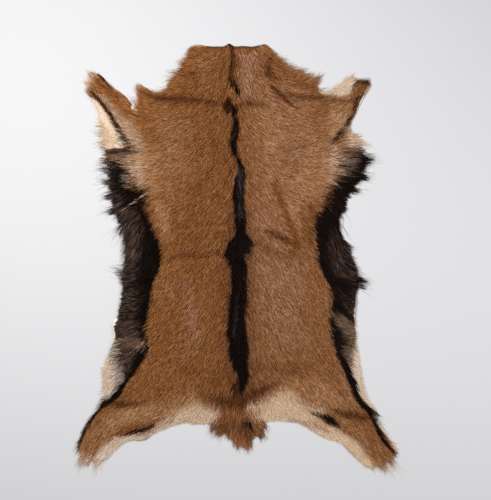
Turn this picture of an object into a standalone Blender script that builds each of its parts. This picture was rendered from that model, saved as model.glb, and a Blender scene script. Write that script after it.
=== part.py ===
"""A tanned goatskin that lies flat on its flesh side, with the hair up.

The hide is one piece: neck, body, four leg tabs and tail are cut from one
skin. It is modelled as one lumpy slab, as thick as leather and hair together,
with locks of hair at its rim. Neck towards +Y, tail towards -Y, hair side +Z.
"""

import math
import random
from collections import namedtuple

import bmesh
import bpy
from mathutils import Vector
from mathutils.geometry import delaunay_2d_cdt, interpolate_bezier, intersect_point_line

MM = 0.001
HIDE_LENGTH = 958 * MM  # neck edge to the hair tips of the hind legs
DRAWN_LENGTH = 958.0  # the same length in the tables and sizes below, all in millimetres

RIM_THICKNESS = 3.5  # leather and thin hair at the very edge
PILE = 7.5  # leather and short hair over the body
RIM_SLOPE = 32.0  # distance over which the pile rises from the rim
SHEET_PITCH = 19.0  # between the sheet's inner points
LOCK_PITCH = 12.0  # root width of a rim lock
LOCK_INSET = 0.45  # bare rim round each lock's root
LEAST_LOCK = 3.0  # shorter fringe is left off
ROOT_SHARE = 0.45  # of a lock's length that lies before its bend
BEND_WIDTH = 0.62
TIP_WIDTH = 0.16
SHORTEST, LONGEST = 0.7, 1.25  # spread of lock lengths
SWAY = 9.0  # degrees that a lock turns off its neighbours' way
LEAST_LIFT = 1.0  # what would stand lower than this lies on the floor
SEED = 11

# The hide's rim, clockwise from the neck's left corner. fringe is how far the
# hair reaches past the rim, and lean is how far it turns from straight
# outwards, in degrees, towards the next row.
Rim = namedtuple("Rim", "x y fringe lean")
RIM = {
    "neck edge": [
        Rim(-111, 462, 6, -50),
        Rim(-90, 466, 0, 0),
        Rim(-45, 463, 0, 0),
        Rim(-24, 466, 6, 0),
        Rim(-10, 464, 0, 0),
        Rim(34, 463, 0, 0),
        Rim(58, 468, 0, 0),
    ],
    "right neck": [
        Rim(78, 455, 7, 10),
        Rim(97, 430, 9, 0),
        Rim(116, 419, 9, 0),
        Rim(141, 409, 9, 10),
        Rim(160, 393, 7, 20),
        Rim(170, 389, 24, 25),
        Rim(171, 376, 5, 0),
        Rim(187, 361, 0, 0),
    ],
    "right foreleg": [
        Rim(205, 364, 8, 45),
        Rim(225, 379, 10, 45),
        Rim(247, 393, 12, 30),
        Rim(262, 387, 5, 30),
        Rim(284, 385, 7, 25),
        Rim(286, 374, 3, 0),
        Rim(276, 350, 0, 0),
        Rim(263, 323, 0, 0),
        Rim(250, 300, 3, 20),
        Rim(248, 284, 8, 40),
    ],
    "right shoulder": [
        Rim(258, 270, 16, 42),
        Rim(273, 254, 20, 38),
        Rim(276, 236, 20, 10),
        Rim(275, 212, 22, 8),
        Rim(272, 190, 18, 20),
        Rim(266, 171, 16, 20),
        Rim(249, 168, 0, 40),
        Rim(246, 150, 12, 45),
        Rim(236, 136, 12, 30),
        Rim(232, 118, 12, 30),
        Rim(229, 103, 14, 10),
    ],
    "right flank": [
        Rim(223, 92, 0, 0),
        Rim(226, 68, 0, 0),
        Rim(234, 40, 4, 0),
        Rim(241, 28, 22, -10),
        Rim(244, 12, 6, 20),
        Rim(251, -8, 11, 25),
        Rim(256, -27, 13, 15),
        Rim(255, -44, 9, 10),
        Rim(257, -59, 26, 5),
        Rim(260, -75, 3, 0),
        Rim(260, -98, 0, 0),
        Rim(257, -122, 0, 0),
        Rim(260, -146, 4, 20),
        Rim(265, -172, 6, 35),
        Rim(264, -196, 7, 45),
        Rim(270, -222, 10, 50),
        Rim(279, -252, 11, 50),
        Rim(283, -282, 10, 50),
        Rim(292, -310, 9, 50),
        Rim(305, -333, 20, 20),
    ],
    "right hind leg": [
        Rim(304, -351, 6, 55),
        Rim(320, -377, 8, 55),
        Rim(338, -401, 9, 55),
        Rim(351, -424, 11, 40),
        Rim(352, -441, 20, 30),
        Rim(339, -455, 26, 10),
        Rim(320, -462, 22, 10),
        Rim(305, -456, 0, 0),
        Rim(288, -462, 15, -10),
        Rim(272, -451, 8, -45),
        Rim(251, -431, 4, -50),
        Rim(231, -412, 0, 0),
        Rim(222, -405, 0, 0),
    ],
    "right rump": [
        Rim(196, -401, 5, -45),
        Rim(171, -387, 5, -45),
        Rim(143, -368, 4, -40),
        Rim(109, -362, 3, -20),
        Rim(76, -360, 0, 0),
    ],
    "tail": [
        Rim(59, -362, 0, 0),
        Rim(57, -383, 12, -45),
        Rim(42, -391, 12, -10),
        Rim(30, -399, 10, -25),
        Rim(20, -412, 14, 0),
        Rim(-1, -408, 11, 0),
        Rim(-17, -396, 9, 10),
        Rim(-31, -389, 10, 0),
        Rim(-43, -382, 11, 25),
        Rim(-55, -366, 6, 40),
    ],
    "left rump": [
        Rim(-84, -366, 3, 20),
        Rim(-120, -364, 4, 30),
        Rim(-152, -373, 5, 40),
        Rim(-180, -386, 6, 40),
        Rim(-202, -400, 5, 30),
        Rim(-238, -401, 4, 30),
    ],
    "left hind leg": [
        Rim(-256, -413, 4, 50),
        Rim(-279, -437, 6, 50),
        Rim(-301, -453, 12, 5),
        Rim(-322, -446, 22, 8),
        Rim(-341, -444, 24, 14),
        Rim(-348, -428, 10, -35),
        Rim(-343, -403, 8, -60),
        Rim(-334, -376, 7, -60),
        Rim(-318, -346, 7, -60),
        Rim(-302, -324, 15, -35),
    ],
    "left flank": [
        Rim(-298, -303, 9, -40),
        Rim(-302, -272, 10, -30),
        Rim(-297, -243, 14, -20),
        Rim(-284, -217, 8, -10),
        Rim(-280, -197, 8, 0),
        Rim(-270, -178, 6, 0),
        Rim(-273, -151, 0, 0),
        Rim(-262, -143, 0, 0),
        Rim(-264, -126, 3, 20),
        Rim(-258, -98, 10, 25),
        Rim(-254, -68, 11, 30),
        Rim(-257, -41, 15, 35),
        Rim(-248, -18, 10, 0),
        Rim(-245, 6, 12, -35),
        Rim(-248, 38, 12, -40),
        Rim(-254, 69, 14, -45),
    ],
    "left shoulder": [
        Rim(-272, 88, 12, -25),
        Rim(-284, 114, 13, -10),
        Rim(-289, 144, 17, -5),
        Rim(-293, 176, 19, -5),
        Rim(-296, 207, 20, 0),
        Rim(-299, 238, 18, 5),
        Rim(-302, 268, 14, 5),
        Rim(-301, 296, 8, 10),
    ],
    "left foreleg": [
        Rim(-308, 323, 5, 20),
        Rim(-323, 346, 7, 20),
        Rim(-335, 364, 7, 10),
        Rim(-327, 380, 6, 0),
        Rim(-328, 396, 9, -10),
        Rim(-309, 401, 7, -40),
        Rim(-291, 384, 4, -50),
        Rim(-267, 363, 3, -50),
        Rim(-246, 352, 3, -45),
        Rim(-230, 323, 0, 0),
    ],
    "left neck": [
        Rim(-221, 341, 6, 10),
        Rim(-221, 368, 12, 15),
        Rim(-205, 376, 5, -30),
        Rim(-185, 362, 3, -30),
        Rim(-160, 363, 5, 0),
        Rim(-145, 391, 8, 0),
        Rim(-128, 424, 8, 0),
    ],
}

# Hair that stands higher or lies lower than the body's pile, along a line from
# (x0, y0) to (x1, y1) that fades out over its width. rise is in millimetres.
Ridge = namedtuple("Ridge", "x0 y0 x1 y1 width rise")
RIDGES = {
    "dorsal stripe": [
        Ridge(-14, 440, -2, 372, 14, 1.5),
        Ridge(-22, 330, -6, 250, 18, 2.5),
        Ridge(-6, 250, 4, 200, 18, 2.0),
        Ridge(4, 200, 6, 60, 20, 2.5),
        Ridge(0, 15, -2, -132, 26, 3.5),
        Ridge(-2, -132, 12, -262, 26, 3.5),
    ],
    "left flank": [
        Ridge(-268, 230, -262, 150, 40, 5.0),
        Ridge(-262, 150, -218, 60, 44, 5.0),
        Ridge(-218, 60, -212, -40, 42, 5.5),
        Ridge(-212, -40, -232, -130, 40, 5.0),
        Ridge(-232, -130, -240, -230, 38, 4.0),
        Ridge(-255, -270, -312, -350, 24, 2.5),
    ],
    "right flank": [
        Ridge(252, 230, 246, 160, 38, 5.0),
        Ridge(246, 160, 202, 90, 38, 5.0),
        Ridge(202, 90, 216, 0, 38, 5.5),
        Ridge(216, 0, 230, -70, 38, 5.0),
        Ridge(230, -70, 238, -190, 36, 4.0),
        Ridge(246, -240, 300, -350, 22, 2.5),
    ],
    "creases": [
        Ridge(-190, 355, -127, 352, 22, -2.4),
        Ridge(-127, 352, -35, 335, 22, -2.4),
        Ridge(74, 374, 100, 352, 20, -2.4),
        Ridge(100, 352, 134, 325, 20, -2.0),
        Ridge(92, 363, 183, 350, 24, -2.6),
        Ridge(183, 350, 246, 343, 22, -2.6),
        Ridge(-156, -13, -88, 9, 22, -2.4),
        Ridge(-88, 9, -22, 9, 22, -2.0),
        Ridge(86, 145, 105, 88, 24, -2.0),
        Ridge(105, 88, 123, 37, 24, -2.0),
        Ridge(68, 55, 100, 35, 20, -2.0),
        Ridge(20, -296, 84, -290, 26, -2.0),
        Ridge(84, -290, 132, -246, 24, -1.8),
        Ridge(-270, -304, -194, -315, 22, -2.0),
        Ridge(222, -345, 282, -354, 20, -2.2),
        Ridge(-255, 100, -203, 140, 16, -4.0),
    ],
    "rolls": [
        Ridge(-120, 300, -60, 180, 70, 1.5),
        Ridge(60, 260, 150, 200, 70, 1.5),
        Ridge(-130, 90, -110, -60, 60, 1.6),
        Ridge(60, -60, 130, -180, 60, 1.6),
        Ridge(-140, -160, -60, -260, 60, 1.4),
        Ridge(-100, 440, 60, 420, 40, -1.0),
    ],
}

# Where the hide's edge stands off the floor: the middle of the lifted stretch,
# how far it reaches and how high its underside stands.
Lift = namedtuple("Lift", "x y reach height")
LIFTS = {
    "right foreleg tip": Lift(288, 378, 62, 9.0),
    "right foreleg edge": Lift(266, 318, 44, 6.0),
    "right flank hollow": Lift(226, 72, 36, 6.0),
    "right flank edge": Lift(262, -112, 46, 7.0),
    "right hind leg edge": Lift(240, -424, 44, 5.0),
    "right rump edge": Lift(158, -384, 40, 4.0),
    "left rump edge": Lift(-216, -408, 40, 5.0),
    "left hind leg end": Lift(-300, -456, 34, 4.0),
    "left flank edge": Lift(-276, -150, 34, 5.0),
    "left foreleg tip": Lift(-334, 392, 46, 5.0),
    "left neck tab": Lift(-226, 372, 26, 4.0),
}


def clear_scene():
    for item in list(bpy.data.objects):
        bpy.data.objects.remove(item, do_unlink=True)


def hair_material():
    material = bpy.data.materials.new("goat_hair")
    material.use_nodes = True
    shader = material.node_tree.nodes["Principled BSDF"]
    shader.inputs["Base Color"].default_value = (0.30, 0.13, 0.05, 1.0)
    shader.inputs["Roughness"].default_value = 0.8
    shader.inputs["Metallic"].default_value = 0.0
    return material


def slope_at(before, here, after):
    """The way that a smooth curve through three points runs at the middle one."""
    back = here - before
    ahead = after - here
    turn = ahead * (back.length / ahead.length) + back * (ahead.length / back.length)
    return turn / (back.length + ahead.length)


def rim_points():
    """Points about LOCK_PITCH apart on a smooth curve through the rim's rows, with their fringe."""
    rows = [row for section in RIM.values() for row in section]
    spots = [Vector((row.x, row.y)) for row in rows]
    count = len(rows)
    slopes = [slope_at(spots[i - 1], spots[i], spots[(i + 1) % count]) for i in range(count)]
    found = []
    for i, row in enumerate(rows):
        after = (i + 1) % count
        reach = (spots[after] - spots[i]).length
        steps = max(1, round(reach / LOCK_PITCH))
        start_handle = spots[i] + slopes[i] * reach / 3
        end_handle = spots[after] - slopes[after] * reach / 3
        curve = interpolate_bezier(spots[i], start_handle, end_handle, spots[after], steps + 1)
        for step, spot in enumerate(curve[:-1]):
            share = step / steps
            fringe = row.fringe + (rows[after].fringe - row.fringe) * share
            lean = row.lean + (rows[after].lean - row.lean) * share
            found.append(Rim(spot.x, spot.y, fringe, lean))
    return found


def gap_to_line(spot, start, end):
    """Distance from a spot to the stretch of line between two points."""
    nearest, share = intersect_point_line(spot, start, end)
    nearest = start.lerp(end, min(max(share, 0.0), 1.0)).to_2d()
    return (spot - nearest).length


def gap_to_rim(spot, rim):
    return min(gap_to_line(spot, rim[i - 1], rim[i]) for i in range(len(rim)))


def is_inside(spot, rim):
    """True if a line from the spot towards +X crosses the rim an odd number of times."""
    inside = False
    for i, end in enumerate(rim):
        start = rim[i - 1]
        if (start.y > spot.y) != (end.y > spot.y):
            crossing = start.x + (spot.y - start.y) / (end.y - start.y) * (end.x - start.x)
            if crossing > spot.x:
                inside = not inside
    return inside


def fold_points():
    """Points along the middle of each ridge and crease, so that the sheet bends there."""
    found = []
    for name in ("dorsal stripe", "left flank", "right flank", "creases"):
        for fold in RIDGES[name]:
            start = Vector((fold.x0, fold.y0))
            end = Vector((fold.x1, fold.y1))
            steps = max(1, round((end - start).length / SHEET_PITCH))
            found += [start.lerp(end, step / steps) for step in range(steps + 1)]
    return found


def grid_points(rim):
    """A triangular grid over the hide's box."""
    row_pitch = SHEET_PITCH * math.sqrt(0.75)
    low_x, high_x = min(p.x for p in rim), max(p.x for p in rim)
    low_y, high_y = min(p.y for p in rim), max(p.y for p in rim)
    found = []
    for row in range(math.ceil((high_y - low_y) / row_pitch)):
        shift = SHEET_PITCH / 2 * (row % 2)
        for column in range(math.ceil((high_x - low_x) / SHEET_PITCH)):
            x = low_x + shift + column * SHEET_PITCH
            found.append(Vector((x, low_y + row * row_pitch)))
    return found


def inner_points(rim):
    """Points inside the rim, none near another: those on the folds first, then the grid's."""
    kept = []
    for spot in fold_points() + grid_points(rim):
        if any((spot - other).length < SHEET_PITCH * 0.7 for other in kept):
            continue
        if is_inside(spot, rim) and gap_to_rim(spot, rim) > SHEET_PITCH * 0.55:
            kept.append(spot)
    return kept


def fade(share):
    """1 at 0, 0 at 1 and beyond, with a soft shoulder at both ends."""
    if share >= 1.0:
        return 0.0
    return (1.0 - share * share) ** 2


def lift_at(spot):
    """How high the hide's underside stands over the floor."""
    found = 0.0
    for lift in LIFTS.values():
        share = (spot - Vector((lift.x, lift.y))).length / lift.reach
        found = max(found, lift.height * fade(share))
    return found if found > LEAST_LIFT else 0.0


def thickness_at(spot, rim):
    """Leather and hair together, thin at the rim and uneven over the body."""
    pile = PILE
    for folds in RIDGES.values():
        deepest = 0.0
        for fold in folds:
            gap = gap_to_line(spot, Vector((fold.x0, fold.y0)), Vector((fold.x1, fold.y1)))
            rise = fold.rise * fade(gap / fold.width)
            if abs(rise) > abs(deepest):
                deepest = rise
        pile += deepest
    full = 1.0 - fade(gap_to_rim(spot, rim) / RIM_SLOPE)
    return RIM_THICKNESS + (pile - RIM_THICKNESS) * full


def lay_sheet(bm, rim):
    """The slab: a sheet of triangles inside the rim, drawn down to a second one below it."""
    spots = rim + inner_points(rim)
    loop = list(range(len(rim)))
    found = delaunay_2d_cdt(spots, [], [loop], 1, 1e-4)
    flat, triangles = found[0], found[2]
    tops = [bm.verts.new((p.x, p.y, lift_at(p) + thickness_at(p, rim))) for p in flat]
    faces = [bm.faces.new([tops[i] for i in triangle]) for triangle in triangles]
    drawn = bmesh.ops.extrude_face_region(bm, geom=faces, use_keep_orig=True)
    for item in drawn["geom"]:
        if isinstance(item, bmesh.types.BMVert):
            item.co.z = lift_at(item.co.to_2d())
    bmesh.ops.recalc_face_normals(bm, faces=bm.faces)


def draw_out(bm, face, way, width):
    """Draws a lock's end face on by one step, and narrows it about the middle of its lower edge."""
    drawn = bmesh.ops.extrude_discrete_faces(bm, faces=[face])["faces"][0]
    foot = drawn.calc_center_median()
    foot.z = min(corner.co.z for corner in drawn.verts)
    for corner in drawn.verts:
        corner.co = foot + (corner.co - foot) * width + way
    return drawn


def comb_lock(bm, face, here, after, draw):
    """One lock of hair, from the face of the hide's edge between two rim points."""
    along = Vector((after.x - here.x, after.y - here.y)).normalized()
    outward = Vector((-along.y, along.x))
    fringe = (here.fringe + after.fringe) / 2
    if fringe < LEAST_LOCK:
        return
    length = fringe * draw.uniform(SHORTEST, LONGEST)
    bend = math.radians(draw.uniform(-SWAY, SWAY))
    lean = math.radians((here.lean + after.lean) / 2) + bend / 2
    bmesh.ops.inset_individual(bm, faces=[face], thickness=LOCK_INSET, use_even_offset=True)
    foot = min(corner.co.z for corner in face.verts)
    sink = Vector((0.0, 0.0, -LOCK_INSET if foot - LOCK_INSET > LEAST_LIFT else -foot))
    for share, width in ((ROOT_SHARE, BEND_WIDTH), (1.0 - ROOT_SHARE, TIP_WIDTH / BEND_WIDTH)):
        way = outward * math.cos(lean) + along * math.sin(lean)
        face = draw_out(bm, face, way.to_3d() * length * share + sink, width)
        sink = Vector()
        lean += bend


def comb_fringe(bm, rim):
    """The locks of hair that lie on the floor round the hide, in the order of the rim."""
    draw = random.Random(SEED)
    edge_faces = [face for face in bm.faces if len(face.verts) == 4]
    middles = [face.calc_center_median().to_2d() for face in edge_faces]
    for i, here in enumerate(rim):
        after = rim[(i + 1) % len(rim)]
        seat = Vector((here.x + after.x, here.y + after.y)) / 2
        nearest = min(range(len(middles)), key=lambda n: (middles[n] - seat).length)
        comb_lock(bm, edge_faces[nearest], here, after, draw)


def size_and_centre(bm):
    """Brings the drawn millimetres to the real size, with the origin under the middle of the box."""
    spots = [corner.co for corner in bm.verts]
    middle_x = (min(p.x for p in spots) + max(p.x for p in spots)) / 2
    middle_y = (min(p.y for p in spots) + max(p.y for p in spots)) / 2
    bmesh.ops.translate(bm, verts=bm.verts, vec=(-middle_x, -middle_y, 0.0))
    size = HIDE_LENGTH / DRAWN_LENGTH
    bmesh.ops.scale(bm, verts=bm.verts, vec=(size, size, size))


def make_goatskin(collection):
    rim = rim_points()
    bm = bmesh.new()
    lay_sheet(bm, [Vector((point.x, point.y)) for point in rim])
    comb_fringe(bm, rim)
    size_and_centre(bm)
    bmesh.ops.triangulate(bm, faces=bm.faces)
    mesh = bpy.data.meshes.new("goatskin")
    bm.to_mesh(mesh)
    bm.free()
    mesh.materials.append(hair_material())
    mesh.shade_smooth()
    goatskin = bpy.data.objects.new("goatskin", mesh)
    collection.objects.link(goatskin)


def main():
    clear_scene()
    collection = bpy.data.collections.new("Goatskin")
    bpy.context.scene.collection.children.link(collection)
    make_goatskin(collection)


main()
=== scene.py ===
"""Looks of a tanned goatskin with the hair on, lying flat with its hair side up."""

import math
from collections import namedtuple

import bpy
import numpy as np
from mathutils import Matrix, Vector
from mathutils.bvhtree import BVHTree
from mathutils.geometry import delaunay_2d_cdt, interpolate_bezier


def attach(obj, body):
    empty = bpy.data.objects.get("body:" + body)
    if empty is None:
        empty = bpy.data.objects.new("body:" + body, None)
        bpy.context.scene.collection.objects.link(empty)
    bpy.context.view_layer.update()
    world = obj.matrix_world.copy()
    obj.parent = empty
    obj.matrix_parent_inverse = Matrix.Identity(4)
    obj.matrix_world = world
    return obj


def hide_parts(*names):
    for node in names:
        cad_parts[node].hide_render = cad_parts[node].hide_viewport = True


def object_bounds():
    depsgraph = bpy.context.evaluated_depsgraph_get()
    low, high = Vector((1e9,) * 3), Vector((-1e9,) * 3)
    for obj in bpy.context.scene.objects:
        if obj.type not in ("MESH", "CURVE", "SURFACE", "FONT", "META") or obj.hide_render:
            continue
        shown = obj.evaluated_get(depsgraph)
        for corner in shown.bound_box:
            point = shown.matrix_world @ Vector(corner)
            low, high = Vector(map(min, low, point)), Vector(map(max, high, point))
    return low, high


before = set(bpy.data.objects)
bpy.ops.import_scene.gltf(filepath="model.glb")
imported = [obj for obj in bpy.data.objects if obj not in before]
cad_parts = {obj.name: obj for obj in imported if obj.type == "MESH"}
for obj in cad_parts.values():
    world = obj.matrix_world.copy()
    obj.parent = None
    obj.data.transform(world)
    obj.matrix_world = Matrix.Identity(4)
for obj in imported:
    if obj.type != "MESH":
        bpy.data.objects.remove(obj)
cad_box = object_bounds()

# The camera looks straight down on the hide, as far off as a tall copy stand
# holds it, and sees a field of floor 1.08 m wide and 1.1 m high.
MM = 0.001
FIELD_HEIGHT = 1100 * MM
CAMERA_HEIGHT = 3.2
SENSOR_HEIGHT = 24.0
camera_data = bpy.data.cameras.new("copy_stand_camera")
camera_data.sensor_fit = "VERTICAL"
camera_data.sensor_height = SENSOR_HEIGHT
camera_data.lens = SENSOR_HEIGHT * CAMERA_HEIGHT / FIELD_HEIGHT
camera_data.clip_end = 20.0
camera = bpy.data.objects.new("copy_stand_camera", camera_data)
camera.location = (16.1 * MM, 23.5 * MM, CAMERA_HEIGHT)
bpy.context.scene.collection.objects.link(camera)
bpy.context.scene.camera = camera

# The skin: one goat hide, tanned, 1.4 mm thick, cut flat along the belly and
# the insides of the legs. Its rim follows the hide's drawn outline, in
# millimetres from the hide's own middle, clockwise from the neck. fringe is how
# far the hair reaches past the outline, and the skin ends a little inside it.
# Where there is no fringe, BARE says how wide a hairless edge shows.
DRAWN_TO_FRAME = np.array([-0.437, 8.099])  # from the drawing's middle to the box's
LEATHER = 1.4
RIM_PITCH = 4.0
SKIN_PITCH = 8.0
TUCK_SHARE = 0.5  # of the fringe, by which the skin ends inside the outline
FIELD_PITCH = 2.5
FIELD_MARGIN = 70.0

Rim = namedtuple("Rim", "x y fringe")
RIM = {
    "neck edge": [
        Rim(-108, 460, 4),
        Rim(-100, 465, 0),
        Rim(-90, 467, 0),
        Rim(-70, 464, 0),
        Rim(-45, 463, 0),
        Rim(-30, 464, 0),
        Rim(-20, 470, 2),
        Rim(-9, 464, 0),
        Rim(12, 464, 0),
        Rim(34, 463, 0),
        Rim(48, 466, 0),
        Rim(60, 468, 0),
    ],
    "right neck": [
        Rim(78, 455, 6),
        Rim(90, 441, 8),
        Rim(101, 430, 9),
        Rim(118, 418, 9),
        Rim(141, 410, 8),
        Rim(158, 398, 7),
        Rim(170, 391, 8),
        Rim(173, 377, 5),
        Rim(187, 361, 3),
    ],
    "right foreleg": [
        Rim(198, 366, 8),
        Rim(210, 373, 10),
        Rim(225, 385, 10),
        Rim(241, 394, 8),
        Rim(254, 395, 4),
        Rim(263, 389, 3),
        Rim(276, 389, 3),
        Rim(288, 388, 5),
        Rim(291, 377, 4),
        Rim(279, 357, 0),
        Rim(269, 338, 0),
        Rim(257, 313, 0),
        Rim(247, 292, 3),
        Rim(248, 280, 8),
    ],
    "right shoulder": [
        Rim(258, 268, 12),
        Rim(267, 256, 18),
        Rim(268, 242, 24),
        Rim(271, 230, 20),
        Rim(280, 218, 16),
        Rim(282, 206, 14),
        Rim(276, 192, 15),
        Rim(271, 180, 14),
        Rim(270, 168, 8),
        Rim(259, 161, 8),
        Rim(253, 152, 12),
        Rim(248, 142, 10),
        Rim(240, 133, 12),
        Rim(238, 118, 8),
        Rim(236, 104, 8),
    ],
    "right flank": [
        Rim(227, 93, 3),
        Rim(224, 80, 1),
        Rim(224, 64, 1),
        Rim(228, 50, 2),
        Rim(238, 38, 6),
        Rim(246, 26, 10),
        Rim(245, 13, 10),
        Rim(251, -2, 8),
        Rim(257, -16, 8),
        Rim(261, -30, 8),
        Rim(261, -46, 14),
        Rim(263, -60, 14),
        Rim(262, -74, 6),
        Rim(260, -86, 1),
        Rim(260, -98, 0),
        Rim(257, -122, 0),
        Rim(260, -146, 2),
        Rim(264, -172, 3),
        Rim(262, -196, 2),
        Rim(264, -222, 4),
        Rim(271, -252, 6),
        Rim(275, -282, 6),
        Rim(285, -310, 6),
        Rim(300, -332, 12),
    ],
    "right hind leg": [
        Rim(302, -350, 8),
        Rim(309, -365, 6),
        Rim(322, -383, 6),
        Rim(335, -399, 7),
        Rim(345, -414, 8),
        Rim(349, -428, 10),
        Rim(342, -440, 16),
        Rim(330, -451, 20),
        Rim(314, -460, 16),
        Rim(302, -458, 9),
        Rim(288, -463, 8),
        Rim(272, -453, 5),
        Rim(256, -439, 3),
        Rim(240, -424, 2),
        Rim(231, -413, 0),
        Rim(226, -407, 0),
        Rim(216, -405, 1),
    ],
    "right rump": [
        Rim(196, -401, 3),
        Rim(171, -387, 3),
        Rim(143, -368, 3),
        Rim(109, -362, 3),
        Rim(76, -360, 3),
    ],
    "tail": [
        Rim(60, -362, 3),
        Rim(56, -378, 6),
        Rim(50, -390, 8),
        Rim(41, -392, 8),
        Rim(33, -398, 10),
        Rim(24, -413, 12),
        Rim(13, -415, 11),
        Rim(0, -410, 10),
        Rim(-14, -402, 10),
        Rim(-24, -391, 8),
        Rim(-33, -386, 8),
        Rim(-43, -385, 9),
        Rim(-52, -369, 6),
    ],
    "left rump": [
        Rim(-84, -366, 3),
        Rim(-120, -364, 3),
        Rim(-152, -373, 3),
        Rim(-180, -386, 4),
        Rim(-202, -401, 2),
        Rim(-218, -404, 1),
        Rim(-238, -401, 3),
    ],
    "left hind leg": [
        Rim(-256, -412, 4),
        Rim(-276, -432, 5),
        Rim(-300, -448, 9),
        Rim(-318, -446, 18),
        Rim(-336, -446, 22),
        Rim(-349, -428, 10),
        Rim(-349, -403, 6),
        Rim(-338, -376, 5),
        Rim(-321, -346, 6),
        Rim(-306, -325, 14),
    ],
    "left flank": [
        Rim(-296, -303, 6),
        Rim(-296, -272, 7),
        Rim(-298, -246, 6),
        Rim(-286, -224, 6),
        Rim(-282, -210, 4),
        Rim(-277, -197, 3),
        Rim(-272, -180, 2),
        Rim(-272, -165, 0),
        Rim(-275, -152, 0),
        Rim(-273, -142, 0),
        Rim(-266, -132, 0),
        Rim(-262, -118, 2),
        Rim(-256, -98, 8),
        Rim(-252, -68, 9),
        Rim(-255, -41, 11),
        Rim(-249, -18, 10),
        Rim(-247, 6, 12),
        Rim(-249, 38, 10),
        Rim(-254, 69, 11),
    ],
    "left shoulder": [
        Rim(-266, 88, 11),
        Rim(-274, 114, 13),
        Rim(-279, 144, 15),
        Rim(-281, 176, 18),
        Rim(-285, 207, 18),
        Rim(-289, 226, 16),
        Rim(-294, 246, 14),
        Rim(-300, 268, 14),
        Rim(-304, 296, 10),
    ],
    "left foreleg": [
        Rim(-308, 318, 5),
        Rim(-317, 340, 5),
        Rim(-332, 356, 5),
        Rim(-335, 366, 6),
        Rim(-329, 376, 6),
        Rim(-328, 388, 7),
        Rim(-323, 399, 7),
        Rim(-311, 403, 4),
        Rim(-299, 399, 2),
        Rim(-289, 388, 2),
        Rim(-279, 377, 2),
        Rim(-267, 367, 2),
        Rim(-250, 357, 2),
        Rim(-240, 346, 2),
        Rim(-231, 332, 2),
        Rim(-229, 323, 2),
    ],
    "left neck": [
        Rim(-221, 341, 6),
        Rim(-222, 362, 11),
        Rim(-213, 374, 7),
        Rim(-204, 375, 4),
        Rim(-188, 365, 3),
        Rim(-174, 363, 3),
        Rim(-161, 366, 4),
        Rim(-150, 390, 8),
        Rim(-138, 404, 9),
        Rim(-128, 416, 9),
        Rim(-120, 434, 8),
        Rim(-111, 446, 7),
    ],
}


def smooth_rim():
    """Points along the rim on a smooth curve through the rows, and the fringe at each."""
    rows = [row for section in RIM.values() for row in section]
    spots = [Vector((row.x + DRAWN_TO_FRAME[0], row.y + DRAWN_TO_FRAME[1])) for row in rows]
    count = len(rows)
    slopes = []
    for i, here in enumerate(spots):
        back = here - spots[i - 1]
        ahead = spots[(i + 1) % count] - here
        turn = ahead * (back.length / ahead.length) + back * (ahead.length / back.length)
        slopes.append(turn / (back.length + ahead.length))
    found, fringes = [], []
    for i, row in enumerate(rows):
        after = (i + 1) % count
        reach = (spots[after] - spots[i]).length
        steps = max(2, round(reach / RIM_PITCH))
        handles = spots[i] + slopes[i] * reach / 3, spots[after] - slopes[after] * reach / 3
        curve = interpolate_bezier(spots[i], *handles, spots[after], steps + 1)
        found += curve[:-1]
        fringes += [row.fringe + (rows[after].fringe - row.fringe) * s / steps for s in range(steps)]
    return np.array([tuple(p) for p in found]), np.array(fringes)


def gaps_to_line(spots, line, closed=True):
    """Each spot's distance to a line of points, and the number of the nearest stretch."""
    gaps, nearest = np.full(len(spots), np.inf), np.zeros(len(spots), int)
    for i in range(len(line) if closed else len(line) - 1):
        along = line[(i + 1) % len(line)] - line[i]
        away = spots - line[i]
        share = np.clip(away @ along / (along @ along), 0, 1)
        gap = np.hypot(*(away - share[:, None] * along).T)
        nearer = gap < gaps
        gaps[nearer], nearest[nearer] = gap[nearer], i
    return gaps, nearest


def inside_line(spots, line):
    """True for the spots that a closed line goes round."""
    inside = np.zeros(len(spots), bool)
    for i, end in enumerate(line):
        start = line[i - 1]
        if start[1] == end[1]:
            continue
        spans = (start[1] > spots[:, 1]) != (end[1] > spots[:, 1])
        crossing = start[0] + (spots[:, 1] - start[1]) / (end[1] - start[1]) * (end[0] - start[0])
        inside ^= spans & (crossing > spots[:, 0])
    return inside


class Field:
    """Values on an even grid over the hide and the floor round it, read between its points."""

    corner = np.array([cad_box[0][0], cad_box[0][1]]) / MM - FIELD_MARGIN
    far = np.array([cad_box[1][0], cad_box[1][1]]) / MM + FIELD_MARGIN
    columns, rows = (np.ceil((far - corner) / FIELD_PITCH).astype(int) + 1).tolist()
    spots = np.stack(np.meshgrid(np.arange(columns), np.arange(rows)), -1).reshape(-1, 2)
    spots = spots * FIELD_PITCH + corner

    def __init__(self, values):
        self.values = np.asarray(values, float).reshape(self.rows, self.columns, -1)

    def blurred(self, times):
        """The field after each value has been evened out with its neighbours."""
        v = self.values
        for _ in range(times):
            for axis in (0, 1):
                padded = np.concatenate([v.take([0], axis), v, v.take([-1], axis)], axis)
                low = padded.take(range(0, v.shape[axis]), axis)
                high = padded.take(range(2, v.shape[axis] + 2), axis)
                v = low / 4 + v / 2 + high / 4
        return Field(v)

    def at(self, spots):
        last = (self.columns - 1.001, self.rows - 1.001)
        place = np.clip((spots - self.corner) / FIELD_PITCH, 0, last)
        low = place.astype(int)
        (x, y), (fx, fy) = low.T, (place - low).T[:, :, None]
        v = self.values
        found = (v[y, x] * (1 - fx) + v[y, x + 1] * fx) * (1 - fy)
        found += (v[y + 1, x] * (1 - fx) + v[y + 1, x + 1] * fx) * fy
        return found[:, 0] if found.shape[1] == 1 else found


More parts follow.
